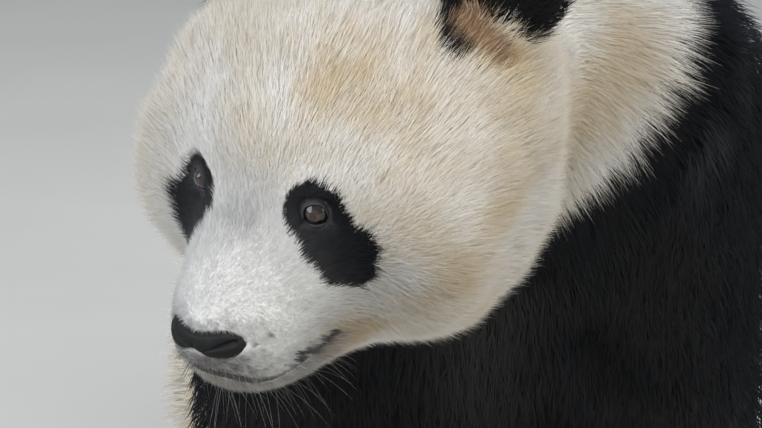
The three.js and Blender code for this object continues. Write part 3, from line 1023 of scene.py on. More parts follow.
def warmth(points):
    """How tan the white coat is, from 0 on the muzzle to 1 and over in the stained places."""
    h = in_head(points)
    cloud = 0.5 + 0.55 * noise(points, 45 * MM, 6) + 0.35 * noise(points, 14 * MM, 7)
    warm = smooth_step(to_nose(h), 85, 200) * (0.24 + 0.5 * np.clip(cloud, 0, 1.2))
    warm *= (0.65 + 0.35 * smooth_step(h[:, 0], -80, 10)) * (1 - 0.5 * smooth_step(h[:, 1], 90, 140))
    brow = 0.15 * close_to(h, (85, -30, 105), 42)
    temple = 0.12 * close_to(h, (150, 10, 50), 45) + 0.35 * close_to(h, (112, 60, 78), 26)
    jowl = 0.2 * close_to(h, (130, -80, -45), 40)
    rusty = 1.25 * (1 - smooth_step(ear_opening(h), -5, 8))
    collar = 0.7 * sum(round_spot(points, spot, COLLAR_TAN_SIZE) for spot in COLLAR_TAN_SPOTS)
    below_lip = 0.4 * smooth_step(-above_mouth(h), 2, 9) * (h[:, 1] < -95)
    stain = 0.9 * close_to(h, (66, -118, -62), 22) + below_lip
    soil = 0.3 * smooth_step(-points[:, 2], -0.42, -0.24) * smooth_step(points[:, 1], -0.2, -0.1)
    tan = np.clip(warm + brow + temple + jowl + collar + stain + soil, 0, MOST_TAN)
    return np.clip(tan + rusty, 0, MOST_RUST)


# %% Grey places
def smudges_and_painted_shade(points):
    """Grey places: smudge between the eyes, at the whisker roots, on the muzzle, over the nose and on the
    chest; painted shade under the nose; on the chin dark hairs with painted shade.
    """
    h = in_head(points)
    bridge = close_to(h, (5, -127, 33), 13)
    spots = sum(close_to(h, spot, 1.5) for spot in WHISKER_SPOTS)
    over_lip = above_mouth(h)
    muzzle = 0.3 + 0.24 * (1 - smooth_step(over_lip, 8, 48))
    muzzle *= smooth_step(-h[:, 1], 95, 140) * (over_lip > 0)
    # painted shade: the chin is greyed for its dark hairs and for the shadow under the muzzle, the fur
    # under the nose for that shadow alone
    chin = 0.7 * smooth_step(-over_lip, 0, 4) * smooth_step(-h[:, 1], 95, 125) * (h[:, 2] > -150)
    under_nose = 0.3 * smooth_step(-h[:, 2], 34, 42) * smooth_step(-h[:, 1], 170, 185) * (over_lip > 0)
    chest = 0.16 * np.exp(-(((points[:, 0] - 0.01) / 0.045) ** 2)) * (points[:, 2] < 0.42) * (h[:, 1] > 20)
    over_nose = 0.25 * smooth_step(in_pad(h), -15, -1) * (h[:, 1] < -160) * (h[:, 2] > -30)
    mottled = bridge * 0.22 + muzzle + chin + under_nose + over_nose
    mottled *= 1 + 0.3 * noise(points, 5 * MM, 8) + 0.4 * noise(points, 1.6 * MM, 9)
    return np.clip(mottled + 0.9 * spots + chest, 0, 1)


# %% [markdown]
# ## The lie of the coat
# Hair grows away from the nose over the face, back and down along the neck and flanks, and straight
# down the legs. Each part gets one direction, the head gets a fan from the nose, the ears a fan from
# their roots. Smoothing over the hide turns these into one flow with no parting lines.

# %% Directions
LIE = {
    "trunk": (0, 1, -0.35), "chest": (0, 0.45, -1), "neck": (0, 0.8, -0.75), "tail": (0, 0.3, -1),
    "foreleg": (0, 0.15, -1), "forepaw": (0, -0.8, -0.5), "hind_leg": (0, 0.3, -1),
    "hind_foot": (0, -0.8, -0.5),
}
EAR_ROOT = np.array((100, 48, 92))
FAN_ROOT = np.array((0, -212, -46))  # the face's hair fans out from just before the nose


def lie_of_coat(points, normals, labels, edges):
    """The direction along the hide in which the hair lies, for each vertex."""
    table = np.array([LIE.get(name, (0, 0, 0)) for name in PARTS], float)
    flow = unit(table[labels])
    h = in_head(points)
    fan = h - FAN_ROOT
    fan[:, 2] -= 0.55 * smooth_step(np.abs(h[:, 0]), 80, 150) * smooth_step(-h[:, 2], -60, 40) * fan[:, 1]
    fan[:, 2] *= 1 - 0.55 * smooth_step(-h[:, 0], 50, 100)  # on the right cheek it lies level
    fan = unit(fan)
    fringe = (h[:, 1] < -160) * (1 - smooth_step(h[:, 2], -20, -9)) * (h[:, 2] > -30) * (in_pad(h) < 0)
    fan = unit(fan + fringe[:, None] * (0, -0.4, -2.4)) @ HEAD_AXES.T
    from_root = unit(h - np.where(h[:, :1] > 0, 1, (-1, 1, 1)) * EAR_ROOT) @ HEAD_AXES.T
    flow = np.where(is_part(labels, *HEAD_PARTS)[:, None], fan, flow)
    flow = np.where(is_part(labels, "ear")[:, None], from_root, flow)
    flow = relax(flow, edges, 14)
    return unit(flow - (flow * normals).sum(1, keepdims=True) * normals)


# %% The hide as arrays
class Hide:
    """The hide's triangles, with everything that the coat reads at its vertices."""

    def __init__(self, mesh):
        self.points = read_points(mesh)
        self.normals = read_normals(mesh)
        self.edges = read_edges(mesh)
        corners = np.empty(len(mesh.polygons) * 3, np.int32)
        mesh.polygons.foreach_get("vertices", corners)
        self.triangles = corners.reshape(-1, 3)
        self.labels = nearest_parts(self.points)
        self.head = in_head(self.points)
        self.flow = lie_of_coat(self.points, self.normals, self.labels, self.edges)


skin = Hide(hide_mesh)
a, b, c = (skin.points[skin.triangles[:, i]] for i in range(3))
skin.areas = np.linalg.norm(np.cross(b - a, c - a), axis=1) / 2 / MM**2
print("hide area", round(skin.areas.sum() / 1e6, 2), "m2")

# %% [markdown]
# ## An unwrap of the hide
# Each tuft takes its place on a flat map from the spot on the hide where it grows. Smart projection
# cuts the hide where it bends and lays its pieces flat by shape, whatever the camera sees.

# %% Unwrap
bpy.context.view_layer.objects.active = hide
hide.select_set(True)
bpy.ops.object.mode_set(mode="EDIT")
bpy.ops.mesh.select_all(action="SELECT")
bpy.ops.uv.smart_project(angle_limit=math.radians(66), island_margin=0.002)
bpy.ops.object.mode_set(mode="OBJECT")
hide_mesh.uv_layers[0].name = "OFBake"
flat = np.empty(len(hide_mesh.loops) * 2, np.float32)
hide_mesh.uv_layers["OFBake"].data.foreach_get("uv", flat)
skin.flat = flat.reshape(-1, 3, 2)
print("unwrapped", len(skin.flat), "triangles")

# %% [markdown]
# ## How long, wide and close the tufts are
# Each value is set per part and blended over the hide like the coat's depth. A tuft stands for a few
# dozen hairs that cling together. It is longest on the neck and flanks and a few millimetres on the
# muzzle, and its lift is worked out so that its tip reaches the solids' surface.

# %% Tables of the coat
LENGTH = {
    "trunk": 50, "chest": 46, "neck": 44, "tail": 44, "head": 26, "lower_jaw": 12, "ear": 15,
    "foreleg": 31, "forepaw": 15, "hind_leg": 36, "hind_foot": 16, "eye": 6, "nose_pad": 5,
}
WIDTH = {
    "trunk": 2.1, "chest": 1.4, "neck": 0.85, "tail": 2.4, "head": 0.9, "lower_jaw": 0.6, "ear": 0.9,
    "foreleg": 1.8, "forepaw": 1.5, "hind_leg": 2.4, "hind_foot": 1.6, "eye": 0.5, "nose_pad": 0.5,
}
print("tufts from", min(LENGTH.values()), "to", max(LENGTH.values()), "mm long by part")

# %% Markings on tufts
MARKING_AHEAD = 0.7  # a tuft shows its outer part, so it takes its colour that far along its length


def take_markings(place):
    """Colours the hide's vertices or the tufts' roots by where the visible parts of the tufts lie."""
    ahead = place.points + place.flow * (MARKING_AHEAD * place.length * MM)[:, None]
    ahead += place.normals * (MARKING_AHEAD * place.depth * MM)[:, None]
    place.black = blackness(ahead, place.dark_share, place.head_share)
    place.warm = warmth(ahead)
    place.grey = smudges_and_painted_shade(ahead)


# %% Depth and length over the hide
on_head = is_part(skin.labels, *HEAD_PARTS)
from_nose = to_nose(skin.head)
depth = np.where(on_head, head_depth(skin.head), per_part(COAT_DEPTH, skin.labels))
skin.depth = relax(depth, skin.edges, 8)
skin.length = relax(per_part(LENGTH, skin.labels), skin.edges, 12)
face_length = 4.5 + 19 * smooth_step(from_nose, 45, 210)
face_length = face_length + 16 * smooth_step(np.abs(skin.head[:, 0]), 95, 150)
skin.length = np.where(on_head, np.minimum(face_length, 3.2 * skin.depth + 1), skin.length)
near_lids = smooth_step(to_eye(skin.head), 14, 34)
skin.length = np.where(on_head, np.minimum(skin.length, 4 + 22 * near_lids), skin.length)
off_lips = np.abs(above_mouth(skin.head)) + 40 * smooth_step(skin.head[:, 1], -138, -112)
off_lips *= 1 + 2 * (above_mouth(skin.head) < 0)
skin.length = np.where(on_head, np.minimum(skin.length, 2.2 + 0.55 * off_lips), skin.length)
under_chin = on_head * smooth_step(-above_mouth(skin.head), 1, 9) * smooth_step(-skin.head[:, 1], 90, 120)
skin.length += 5 * under_chin
skin.depth += 1.5 * under_chin
print("on the head", round(skin.length[on_head].min(), 1), "to", round(skin.length[on_head].max(), 1), "mm")

# %% Width, crowding and colour over the hide
skin.width = relax(per_part(WIDTH, skin.labels), skin.edges, 12)
face_width = 0.42 + 0.3 * smooth_step(from_nose, 40, 200)
skin.width = np.where(on_head, face_width, skin.width)
front_flank = is_part(skin.labels, "trunk") * smooth_step(-skin.points[:, 1], -0.20, -0.05)
shoulder = is_part(skin.labels, "foreleg", "chest") * smooth_step(skin.points[:, 2], 0.25, 0.4)
skin.crowding = 1 + 1.6 * front_flank + 0.9 * shoulder  # the body's front has the finer, denser coat
skin.width /= np.sqrt(skin.crowding)
skin.length *= 1 - 0.4 * front_flank
skin.dark_share = relax(is_part(skin.labels, *BLACK_PARTS).astype(float), skin.edges, 4)
skin.head_share = on_head.astype(float)
take_markings(skin)
print("tufts from", round(skin.length.min(), 1), "to", round(skin.length.max(), 1), "mm long")

# %% [markdown]
# ## Bare places
# Nothing grows on the lids' rims, the lips and the nose's seat, and the hair thins out under the nose.
# Each of these is a value at the hide's vertices: bare stops the tufts, and pink tints the skin there.

# %% Bare places
BARE_RIM, RIM_REACH = 3.6, 20  # mm past the lids' edge, and round the ball

in_front = skin.head[:, 1] < MUZZLE_END
under_nose = in_front * smooth_step(above_mouth(skin.head), 0, 2) * smooth_step(-skin.head[:, 2], 36, 39)
under_nose *= 1 - smooth_step(np.abs(skin.head[:, 0]), 22, 34)
lips = on_head * (1 - smooth_step(np.abs(above_mouth(skin.head)), 2.2, 3.6)) * (skin.head[:, 1] < -132)
skin.pink = np.clip(lips + 0.7 * under_nose, 0, 1)
skin.thin = 0.5 * under_nose
lip_width = 2.6 + 1.0 * smooth_step(-skin.head[:, 1], 135, 170)
bare = on_head & (np.abs(above_mouth(skin.head)) < lip_width) & (skin.head[:, 1] < -138)
for side in SIDES.values():
    centre, axes = eye_frame(side)
    local = (skin.head - centre) @ axes.T
    past = np.hypot(local[:, 0], local[:, 1]) - opening_radius(np.arctan2(local[:, 1], local[:, 0]))
    bare |= (np.linalg.norm(local, axis=1) < RIM_REACH) & (past < BARE_RIM) & (local[:, 2] > -4)
bare |= on_head & in_front & (in_pad(skin.head) > -0.4)
skin.bare = bare.astype(float)
print(int(bare.sum()), "bare vertices")

# %% [markdown]
# ## Growing tufts
# Roots are spread evenly by area: the hide's triangles are laid end to end by how many tufts each
# should carry, and one root is taken per step. Two closed forms serve. On the face, cheeks and neck a
# tuft is a spike of four faces, so that very many can be had. On the long coat it is a spindle of six:
# it rises from the root, bends over at a ring of three vertices and ends in a point that lies along
# the body. Noise gathers neighbouring tips, as hair clings together, and each tuft's normals lean
# towards the hide's, which keeps the shading soft. Thousands of equal forms are stacked as arrays.

# %% Roots
def spread_roots(hide, chosen, spacing, seed):
    """Roots on the chosen triangles, one for about each spacing in mm2: triangles and their shares."""
    random = np.random.default_rng(seed)
    wanted = np.where(chosen, hide.areas * hide.crowding[hide.triangles[:, 0]] / spacing, 0)
    ends = np.cumsum(wanted)
    count = int(ends[-1])
    steps = (np.arange(count) + random.uniform(0, 1, count)) * ends[-1] / count
    triangle = np.searchsorted(ends, steps)
    first, second = random.uniform(0, 1, (2, count))
    first = np.sqrt(first)
    shares = np.stack((1 - first, first * (1 - second), first * second), axis=1)
    return np.minimum(triangle, len(hide.triangles) - 1), shares


def at_roots(hide, values, triangle, shares):
    """The values of the hide's vertices, blended at the roots."""
    corners = values[hide.triangles[triangle]]
    if corners.ndim == 2:
        return (corners * shares).sum(1)
    return np.einsum("nck,nc->nk", corners, shares)


# %% Values at the roots
class Roots:
    """Everything that a tuft needs to know where it grows."""

    def __init__(self, hide, chosen, spacing, seed):
        triangle, shares = spread_roots(hide, chosen, spacing, seed)
        self.random = np.random.default_rng(seed + 1000)
        keep = at_roots(hide, hide.bare, triangle, shares) < 0.5
        keep &= at_roots(hide, hide.thin, triangle, shares) < self.random.uniform(0, 1, len(keep))
        triangle, shares = triangle[keep], shares[keep]
        for name in ("points", "flow", "length", "width", "depth", "dark_share", "head_share"):
            setattr(self, name, at_roots(hide, getattr(hide, name), triangle, shares))
        self.normals = unit(at_roots(hide, hide.normals, triangle, shares))
        self.flat = np.einsum("nck,nc->nk", hide.flat[triangle], shares)
        take_markings(self)


# %% Two forms of tuft
BEND_AT = 0.42  # where a spindle bends, as a share of its length
SPINDLE = SimpleNamespace(  # root, a ring of left, right and top, and tip
    faces=((1, 2, 4), (2, 3, 4), (3, 1, 4), (2, 1, 0), (3, 2, 0), (1, 3, 0)),
    spots=((0, 0), (-1, -0.6), (1, -0.6), (0, 1), (0, 0.4)),
    along=(0, BEND_AT, BEND_AT, BEND_AT, 1),
)
SPIKE = SimpleNamespace(  # a ring of left, right and top at the root, and tip
    faces=((0, 1, 3), (1, 2, 3), (2, 0, 3), (0, 2, 1)),
    spots=((-1, -0.6), (1, -0.6), (0, 0), (0, 1)),
    along=(0, 0, 0.2, 1),
)
print("a spindle has", len(SPINDLE.faces), "faces and a spike", len(SPIKE.faces))

# %% Tufts
UV_REACH = 0.0015  # half of a tuft's patch on the map
ROOT_DEPTH = 0.6 * MM  # roots start just under the hide
ROUNDNESS, TIP_NOD = 0.2, 0.2  # how far a tuft's normals lean from the hide's own, for soft shading
GROUND_GAP = 0.3 * MM  # tufts under the soles are pressed flat on the ground
STANDING_SHARE, STANDING_RISE = 0.16, 0.55  # tufts that stand out of the coat and fuzz its outline
STEEPEST = 0.72  # the most that a tip may rise, as a share of the tuft's length
RING_HEIGHT = 0.42  # of a tuft's width


def turn_about(vectors, axis, angle):
    """Each vector turned about its own axis, which is square to it."""
    return vectors * np.cos(angle)[:, None] + np.cross(axis, vectors) * np.sin(angle)[:, None]


def grow_tufts(roots, form, clump_size, clump_pull, stray):
    """Vertices, faces, flat places and colours of the tufts on these roots."""
    count = len(roots.points)
    random = roots.random
    normal = roots.normals
    lie = unit(roots.flow - (roots.flow * normal).sum(1, keepdims=True) * normal)
    sway = 0.20 * noise(roots.points, 45 * MM, 11) + 0.16 * noise(roots.points, 13 * MM, 12)
    lie = turn_about(lie, normal, sway + random.normal(0, stray, count))
    across = np.cross(normal, lie)
    length = roots.length * random.uniform(0.6, 1.15, count) * MM
    width = roots.width * random.uniform(0.7, 1.2, count) * MM
    lift = random.uniform(0.5, 1.05, count)
    lift += STANDING_RISE * (random.uniform(0, 1, count) < STANDING_SHARE)
    reach = np.clip(roots.depth * lift * MM, 0, STEEPEST * length)
    base = roots.points - normal * ROOT_DEPTH
    pull = np.stack([noise(roots.points, clump_size, seed) for seed in (21, 22, 23)], axis=1)
    pull = (pull - (pull * normal).sum(1, keepdims=True) * normal) * clump_pull
    tip = roots.points + lie * np.sqrt(length**2 - reach**2)[:, None] + normal * reach[:, None]
    tip = tip + pull * length[:, None]
    middle = base
    if form is SPINDLE:
        middle = roots.points + (tip - roots.points) * BEND_AT
        middle = middle + normal * (0.16 * reach + 0.02 * length)[:, None]
    rise = normal * (RING_HEIGHT * width)[:, None]
    half = across * (0.5 * width)[:, None]
    stack = [middle - half, middle + half, middle + rise, tip]
    leaning = [-ROUNDNESS * across, ROUNDNESS * across, 0 * across, TIP_NOD * lie]
    if form is SPINDLE:
        stack = [base] + stack
        leaning = [0 * across] + leaning
    points = np.stack(stack, axis=1).reshape(-1, 3)
    points[:, 2] = np.maximum(points[:, 2], GROUND_GAP)
    size = len(stack)
    faces = np.array(form.faces)[None] + size * np.arange(count)[:, None, None]
    flat = roots.flat[:, None] + np.array(form.spots)[None] * UV_REACH
    return SimpleNamespace(
        points=points,
        faces=faces.reshape(-1, 3),
        flat=flat.reshape(-1, 2),
        normals=unit(np.stack(leaning, axis=1) + normal[:, None]).reshape(-1, 3),
        black=np.repeat(roots.black, size),
        warm=np.repeat(np.clip(roots.warm + random.normal(0, 0.14, count), 0, MOST_RUST), size),
        grey=np.repeat(roots.grey, size),
        shade=np.repeat(0.5 * random.uniform(-1, 1, count) + 0.35 * noise(roots.points, 8 * MM, 24), size),
        along=np.tile(form.along, count),
    )


# %% Tuft meshes
def tufts_to_mesh(name, tufts):
    """A mesh of the tufts with their colours as attributes and their map named OFBake."""
    mesh = bpy.data.meshes.new(name)
    corners = tufts.faces.ravel().astype(np.int32)
    mesh.vertices.add(len(tufts.points))
    mesh.vertices.foreach_set("co", tufts.points.astype(np.float32).ravel())
    mesh.loops.add(len(corners))
    mesh.loops.foreach_set("vertex_index", corners)
    mesh.polygons.add(len(tufts.faces))
    mesh.polygons.foreach_set("loop_start", np.arange(0, len(corners), 3, dtype=np.int32))
    mesh.polygons.foreach_set("material_index", (tufts.black[tufts.faces[:, 0]] > 0.5).astype(np.int32))
    mapping = mesh.uv_layers.new(name="OFBake")
    mapping.data.foreach_set("uv", tufts.flat[corners].astype(np.float32).ravel())
    for label in ("warm", "grey", "shade", "along"):
        attribute = mesh.attributes.new(label, "FLOAT", "POINT")
        attribute.data.foreach_set("value", getattr(tufts, label).astype(np.float32))
    mesh.update(calc_edges=True)
    mesh.validate()
    mesh.shade_smooth()
    mesh.normals_split_custom_set_from_vertices(tufts.normals.astype(np.float32))
    return mesh


# %% [markdown]
# ## Hair finishes
# Hair is keratin. White hair has no pigment, so it is pale and lets light through, and black hair takes
# nearly all of it and shows only a cool gleam; its near-black colour is tinted a touch blue, a painted
# reflection of the sky. Both read the tufts' own attributes: a shade that differs from tuft to tuft, the
# tan and rust stains, the grey smudges with painted shade under the nose and chin, and the place along the
# tuft, because roots lie in the shade. A little sheen and light through the hair take the hardness off the
# facets.

# %% Colour of hair
# the grey serves smudges and the painted shade under the nose and on the chin
RUST, GREY_OF_SMUDGE_AND_SHADE = "86654C", "6C6B6A"


def hair_colour(tree, low, high, tan):
    """A socket with the hair's own colour from low to high, then stained, greyed by smudging and by painted
    shade under the nose and chin, and shaded at the root.
    """
    shade, warm, grey, along = (
        add_node(tree, "ShaderNodeAttribute", {"attribute_name": label}).outputs["Fac"]
        for label in ("shade", "warm", "grey", "along")
    )
    share = add_node(
        tree, "ShaderNodeMath", {"operation": "MULTIPLY_ADD", "use_clamp": True, 1: 0.5, 2: 0.5}, {0: shade}
    )
    own = add_node(
        tree, "ShaderNodeMix", {"data_type": "RGBA", 6: linear(low), 7: linear(high)}, {0: share.outputs[0]}
    )
    stained = add_node(
        tree, "ShaderNodeMix", {"data_type": "RGBA", 7: linear(tan)}, {0: warm, 6: own.outputs[2]}
    )
    rust = add_node(tree, "ShaderNodeMapRange", {"From Min": 1.0, "From Max": MOST_RUST}, {"Value": warm})
    rusty = add_node(
        tree,
        "ShaderNodeMix",
        {"data_type": "RGBA", 7: linear(RUST)},
        {0: rust.outputs[0], 6: stained.outputs[2]},
    )
    smudged_and_shade_painted = add_node(
        tree, "ShaderNodeMix", {"data_type": "RGBA", 7: linear(GREY_OF_SMUDGE_AND_SHADE)}, {0: grey, 6: rusty.outputs[2]}
    )
    root = add_node(
        tree,
        "ShaderNodeMapRange",
        {"From Min": 0.0, "From Max": 0.5, "To Min": 0.93, "To Max": 1.0},
        {"Value": along},
    )
    shaded = add_node(
        tree,
        "ShaderNodeMix",
        {"data_type": "RGBA", "blend_type": "MULTIPLY", 0: 1.0},
        {6: smudged_and_shade_painted.outputs[2], 7: root.outputs[0]},
    )
    return shaded.outputs[2]


# %% Hair finishes
def hair_material(name, low, high, tan, roughness, gloss, sheen, sheen_tint, glow):
    """Keratin hair: its own colour varies from tuft to tuft, and it gleams softly along its length."""
    material, tree = new_material(name)
    shader = add_node(
        tree,
        "ShaderNodeBsdfPrincipled",
        {
            "Roughness": roughness,
            "IOR": 1.55,
            "Specular IOR Level": gloss,
            "Sheen Weight": sheen,
            "Sheen Tint": linear(sheen_tint),
            "Subsurface Weight": glow,
            "Subsurface Radius": (1, 1, 1),
            "Subsurface Scale": 3 * MM,
        },
        {"Base Color": hair_colour(tree, low, high, tan)},
    )
    finish_material(tree, shader)
    print(name, "made of", len(tree.nodes), "nodes")
    return material


white_hair = hair_material("white_guard_hair", "E8E7E2", "FAFAF7", "C9AD7B", 0.8, 0.15, 0.1, "FFFFFF", 0.3)
# black hair's near-black colour is tinted a touch blue, a painted reflection of the cool sky
black_hair = hair_material("black_guard_hair", "040507", "0D1016", "0C0A09", 0.5, 0.14, 0.02, "8FA0C0", 0.0)

# %% [markdown]
# ## The coat
# The coat grows in twelve pieces, so that no mesh is too heavy. The face and the left cheek carry the
# finest tufts, close together, because they are seen from nearest. The trunk and the legs carry
# coarser ones. Every piece has its own seed, so it grows the same each time.

# %% Regions of the coat
MUZZLE_REACH = 96  # mm from the tip of the nose


def triangle_part(*names):
    """Where the hide's triangles belong to these parts."""
    return is_part(skin.labels[skin.triangles[:, 0]], *names)


triangle_head = skin.head[skin.triangles].mean(1)
on_head = triangle_part(*HEAD_PARTS)
muzzle = on_head & (to_nose(triangle_head) < MUZZLE_REACH)
brow = on_head & ~muzzle & (triangle_head[:, 2] > 44) & (triangle_head[:, 1] < 60)
cheeks = on_head & ~muzzle & ~brow & (triangle_head[:, 1] < 75 + 45 * (triangle_head[:, 0] > 0))
cheeks &= triangle_head[:, 2] > -105
left_cheek = cheeks & (triangle_head[:, 0] > 0)
low_cheek = triangle_head[:, 2] < -12
print(int(on_head.sum()), "triangles of the hide on the head")

# %% Table of the coat's pieces
COAT = {  # which triangles, spacing in mm2, form, clump size in mm, clump pull, stray
    "coat_muzzle": (muzzle, 0.75, SPIKE, 6, 0.08, 0.14),
    "coat_brow": (brow, 1.5, SPIKE, 8, 0.14, 0.15),
    "coat_cheek_left_upper": (left_cheek & ~low_cheek, 0.62, SPIKE, 8, 0.2, 0.19),
    "coat_cheek_left_lower": (left_cheek & low_cheek, 0.85, SPIKE, 8, 0.2, 0.19),
    "coat_cheek_right": (cheeks & ~left_cheek, 1.6, SPIKE, 9, 0.14, 0.15),
    "coat_back_of_head": (on_head & ~muzzle & ~brow & ~cheeks, 3.8, SPINDLE, 10, 0.14, 0.15),
    "coat_ears": (triangle_part("ear"), 3.2, SPINDLE, 8, 0.14, 0.2),
    "coat_neck": (triangle_part("neck"), 2.5, SPIKE, 12, 0.14, 0.15),
    "coat_chest": (triangle_part("chest"), 14, SPINDLE, 14, 0.14, 0.15),
    "coat_trunk": (triangle_part("trunk", "tail"), 52, SPINDLE, 22, 0.14, 0.15),
    "coat_forelegs": (triangle_part("foreleg", "forepaw"), 26, SPINDLE, 16, 0.14, 0.15),
    "coat_hind_legs": (triangle_part("hind_leg", "hind_foot"), 42, SPINDLE, 18, 0.14, 0.15),
}
print(len(COAT), "pieces of coat")

# %% Growing the coat
FIRST_SEED = 100
THINNING = 1

total = 0
for number, (name, (chosen, spacing, form, clump, pull, stray)) in enumerate(COAT.items()):
    roots = Roots(skin, chosen, spacing * THINNING, FIRST_SEED + number)
    tufts = grow_tufts(roots, form, clump * MM, pull, stray)
    mesh = tufts_to_mesh(name, tufts)
    mesh.materials.append(white_hair)
    mesh.materials.append(black_hair)
    add_piece(name, mesh)
    total += len(mesh.polygons)
    print(name, len(roots.points), "tufts", len(mesh.polygons), "triangles")
print("coat", total, "triangles")

# %% [markdown]
# ## Whiskers
# A few hundred longer hairs stand free of the coat: they hang from the chin and fringe the upper lip.
# Each is a thin three-sided horn that tapers through four rings to a point and droops as it goes.

# %% Whiskers
WHISKER_RINGS = 5
WHISKER_UV = 0.0012


def grow_whiskers(roots, longest, width, droop, spread):
    """Vertices, faces, flat places and colours of thin drooping hairs on these roots."""
    count = len(roots.points)
    random = roots.random
    start = unit(roots.normals + 0.8 * roots.flow + random.normal(0, spread, (count, 3)))
    length = longest * random.uniform(0.35, 1, count) * MM
    side = unit(np.cross(start, (0.02, 0.01, 1)))
    lift = np.cross(side, start)
    rings, spots = [], []
    for step in np.linspace(0, 1, WHISKER_RINGS)[:-1]:
        spine = roots.points + start * (length * step)[:, None]
        spine[:, 2] -= droop * length * step**2
        for turn in np.arange(3) / 3 * math.tau:
            radius = 0.5 * width * MM * (1 - 0.75 * step)
            rings.append(spine + radius * (math.cos(turn) * side + math.sin(turn) * lift))
            reach = WHISKER_UV * (1 - step)
            spots.append(roots.flat + (reach * math.cos(turn), reach * math.sin(turn)))
    tip = roots.points + start * length[:, None]
    tip[:, 2] -= droop * length
    rings.append(tip)
    spots.append(roots.flat)
    size = len(rings)
    faces = [(0, 2, 1)]
    for ring in range(0, size - 4, 3):
        for i in range(3):
            j = (i + 1) % 3
            faces += [(ring + i, ring + j, ring + j + 3), (ring + i, ring + j + 3, ring + i + 3)]
    faces += [(size - 4 + i, size - 4 + (i + 1) % 3, size - 1) for i in range(3)]
    faces = np.array(faces)[None] + size * np.arange(count)[:, None, None]
    along = np.append(np.repeat(np.linspace(0, 1, WHISKER_RINGS)[:-1], 3), 1)
    return SimpleNamespace(
        points=np.stack(rings, axis=1).reshape(-1, 3),
        faces=faces.reshape(-1, 3),
        flat=np.stack(spots, axis=1).reshape(-1, 2),
        normals=np.repeat(roots.normals, size, axis=0),
        black=np.zeros(count * size),
        warm=np.full(count * size, 0.15),
        grey=np.zeros(count * size),
        shade=np.repeat(random.uniform(0, 1, count), size),
        along=np.tile(0.5 + 0.5 * along, count),
    )


# %% Chin and upper lip
WHISKER_SEED = 300

triangle_lip = above_mouth(triangle_head)
below = on_head & (triangle_lip < -5) & (triangle_lip > -60) & (triangle_head[:, 1] < -125)
over_lip = on_head & (triangle_lip > 2.6) & (triangle_lip < 9) & (triangle_head[:, 1] < -112)
WHISKERS = {  # which triangles, spacing in mm2, longest and width in mm, droop, spread
    "chin_whiskers": (below, 85, 44, 0.2, 0.4, 0.55),
    "lip_hairs": (over_lip, 6, 10, 0.24, 0.6, 0.22),
}
for number, (name, (chosen, spacing, longest, width, droop, spread)) in enumerate(WHISKERS.items()):
    roots = Roots(skin, chosen, spacing, WHISKER_SEED + number)
    mesh = tufts_to_mesh(name, grow_whiskers(roots, longest, width, droop, spread))
    mesh.materials.append(white_hair)
    mesh.materials.append(black_hair)
    add_piece(name, mesh)
    print(name, len(roots.points), "hairs")

# %% [markdown]
# ## Finish of the hide
# Between the tufts one sees dense under-fur. It carries the coat's colours, mixed one over the other by
# the attributes at its vertices, with short felted wool as bump. Bare skin shows at the lids and lips.

# %% The hide's attributes
for label in ("black", "warm", "grey", "bare", "pink"):
    attribute = hide_mesh.attributes.new(label, "FLOAT", "POINT")
    attribute.data.foreach_set("value", getattr(skin, label).astype(np.float32))
print(len(hide_mesh.attributes), "attributes on the hide")

# %% Hide finish
WOOL_SCALE = 1 / (1.6 * MM)  # locks of wool about 1.6 mm apart

felt, tree = new_material("felted_under_fur")  # dense short wool: matt, a shade darker than the tips
tone = None
for label, start, colour in (
    ("warm", "ECEAE4", "C9AD7B"),
    # grey: smudges, and painted shade under the nose and on the chin
    ("grey", None, GREY_OF_SMUDGE_AND_SHADE),
    ("black", None, "08080A"),
    ("bare", None, "2B292B"),
    ("pink", None, "3F3634"),
):
    amount = add_node(tree, "ShaderNodeAttribute", {"attribute_name": label}).outputs["Fac"]
    settings = {"data_type": "RGBA", 7: linear(colour)}
    if start:
        settings[6] = linear(start)
    links = {0: amount} if tone is None else {0: amount, 6: tone.outputs[2]}
    tone = add_node(tree, "ShaderNodeMix", settings, links)
place = add_node(tree, "ShaderNodeTexCoord")
wool = add_node(
    tree, "ShaderNodeTexNoise", {"Scale": WOOL_SCALE, "Detail": 3}, {"Vector": place.outputs["Object"]}
)
bump = add_node(tree, "ShaderNodeBump", {"Strength": 0.5, "Distance": 1 * MM}, {"Height": wool.outputs[0]})
shader = add_node(
    tree,
    "ShaderNodeBsdfPrincipled",
    {"Roughness": 0.75},
    {"Base Color": tone.outputs[2], "Normal": bump.outputs[0]},
)
finish_material(tree, shader)
hide_mesh.materials.append(felt)
print(felt.name, "made of", len(tree.nodes), "nodes")

# %% [markdown]
# ## Finish of the eyes
# A panda's eye is dark brown and wet. Rings of colour on the iris map give a black pupil, a brown iris
# and its dark edge, and a clear coat of tears over them gives the glint.

# %% Eye finish
IRIS_RINGS = (  # place from the middle of the map, and colour
    (0.135, "241814"), (0.2, "3F2A22"), (0.26, "241916"), (0.30, "080606"), (0.4, "140F0F"),
)

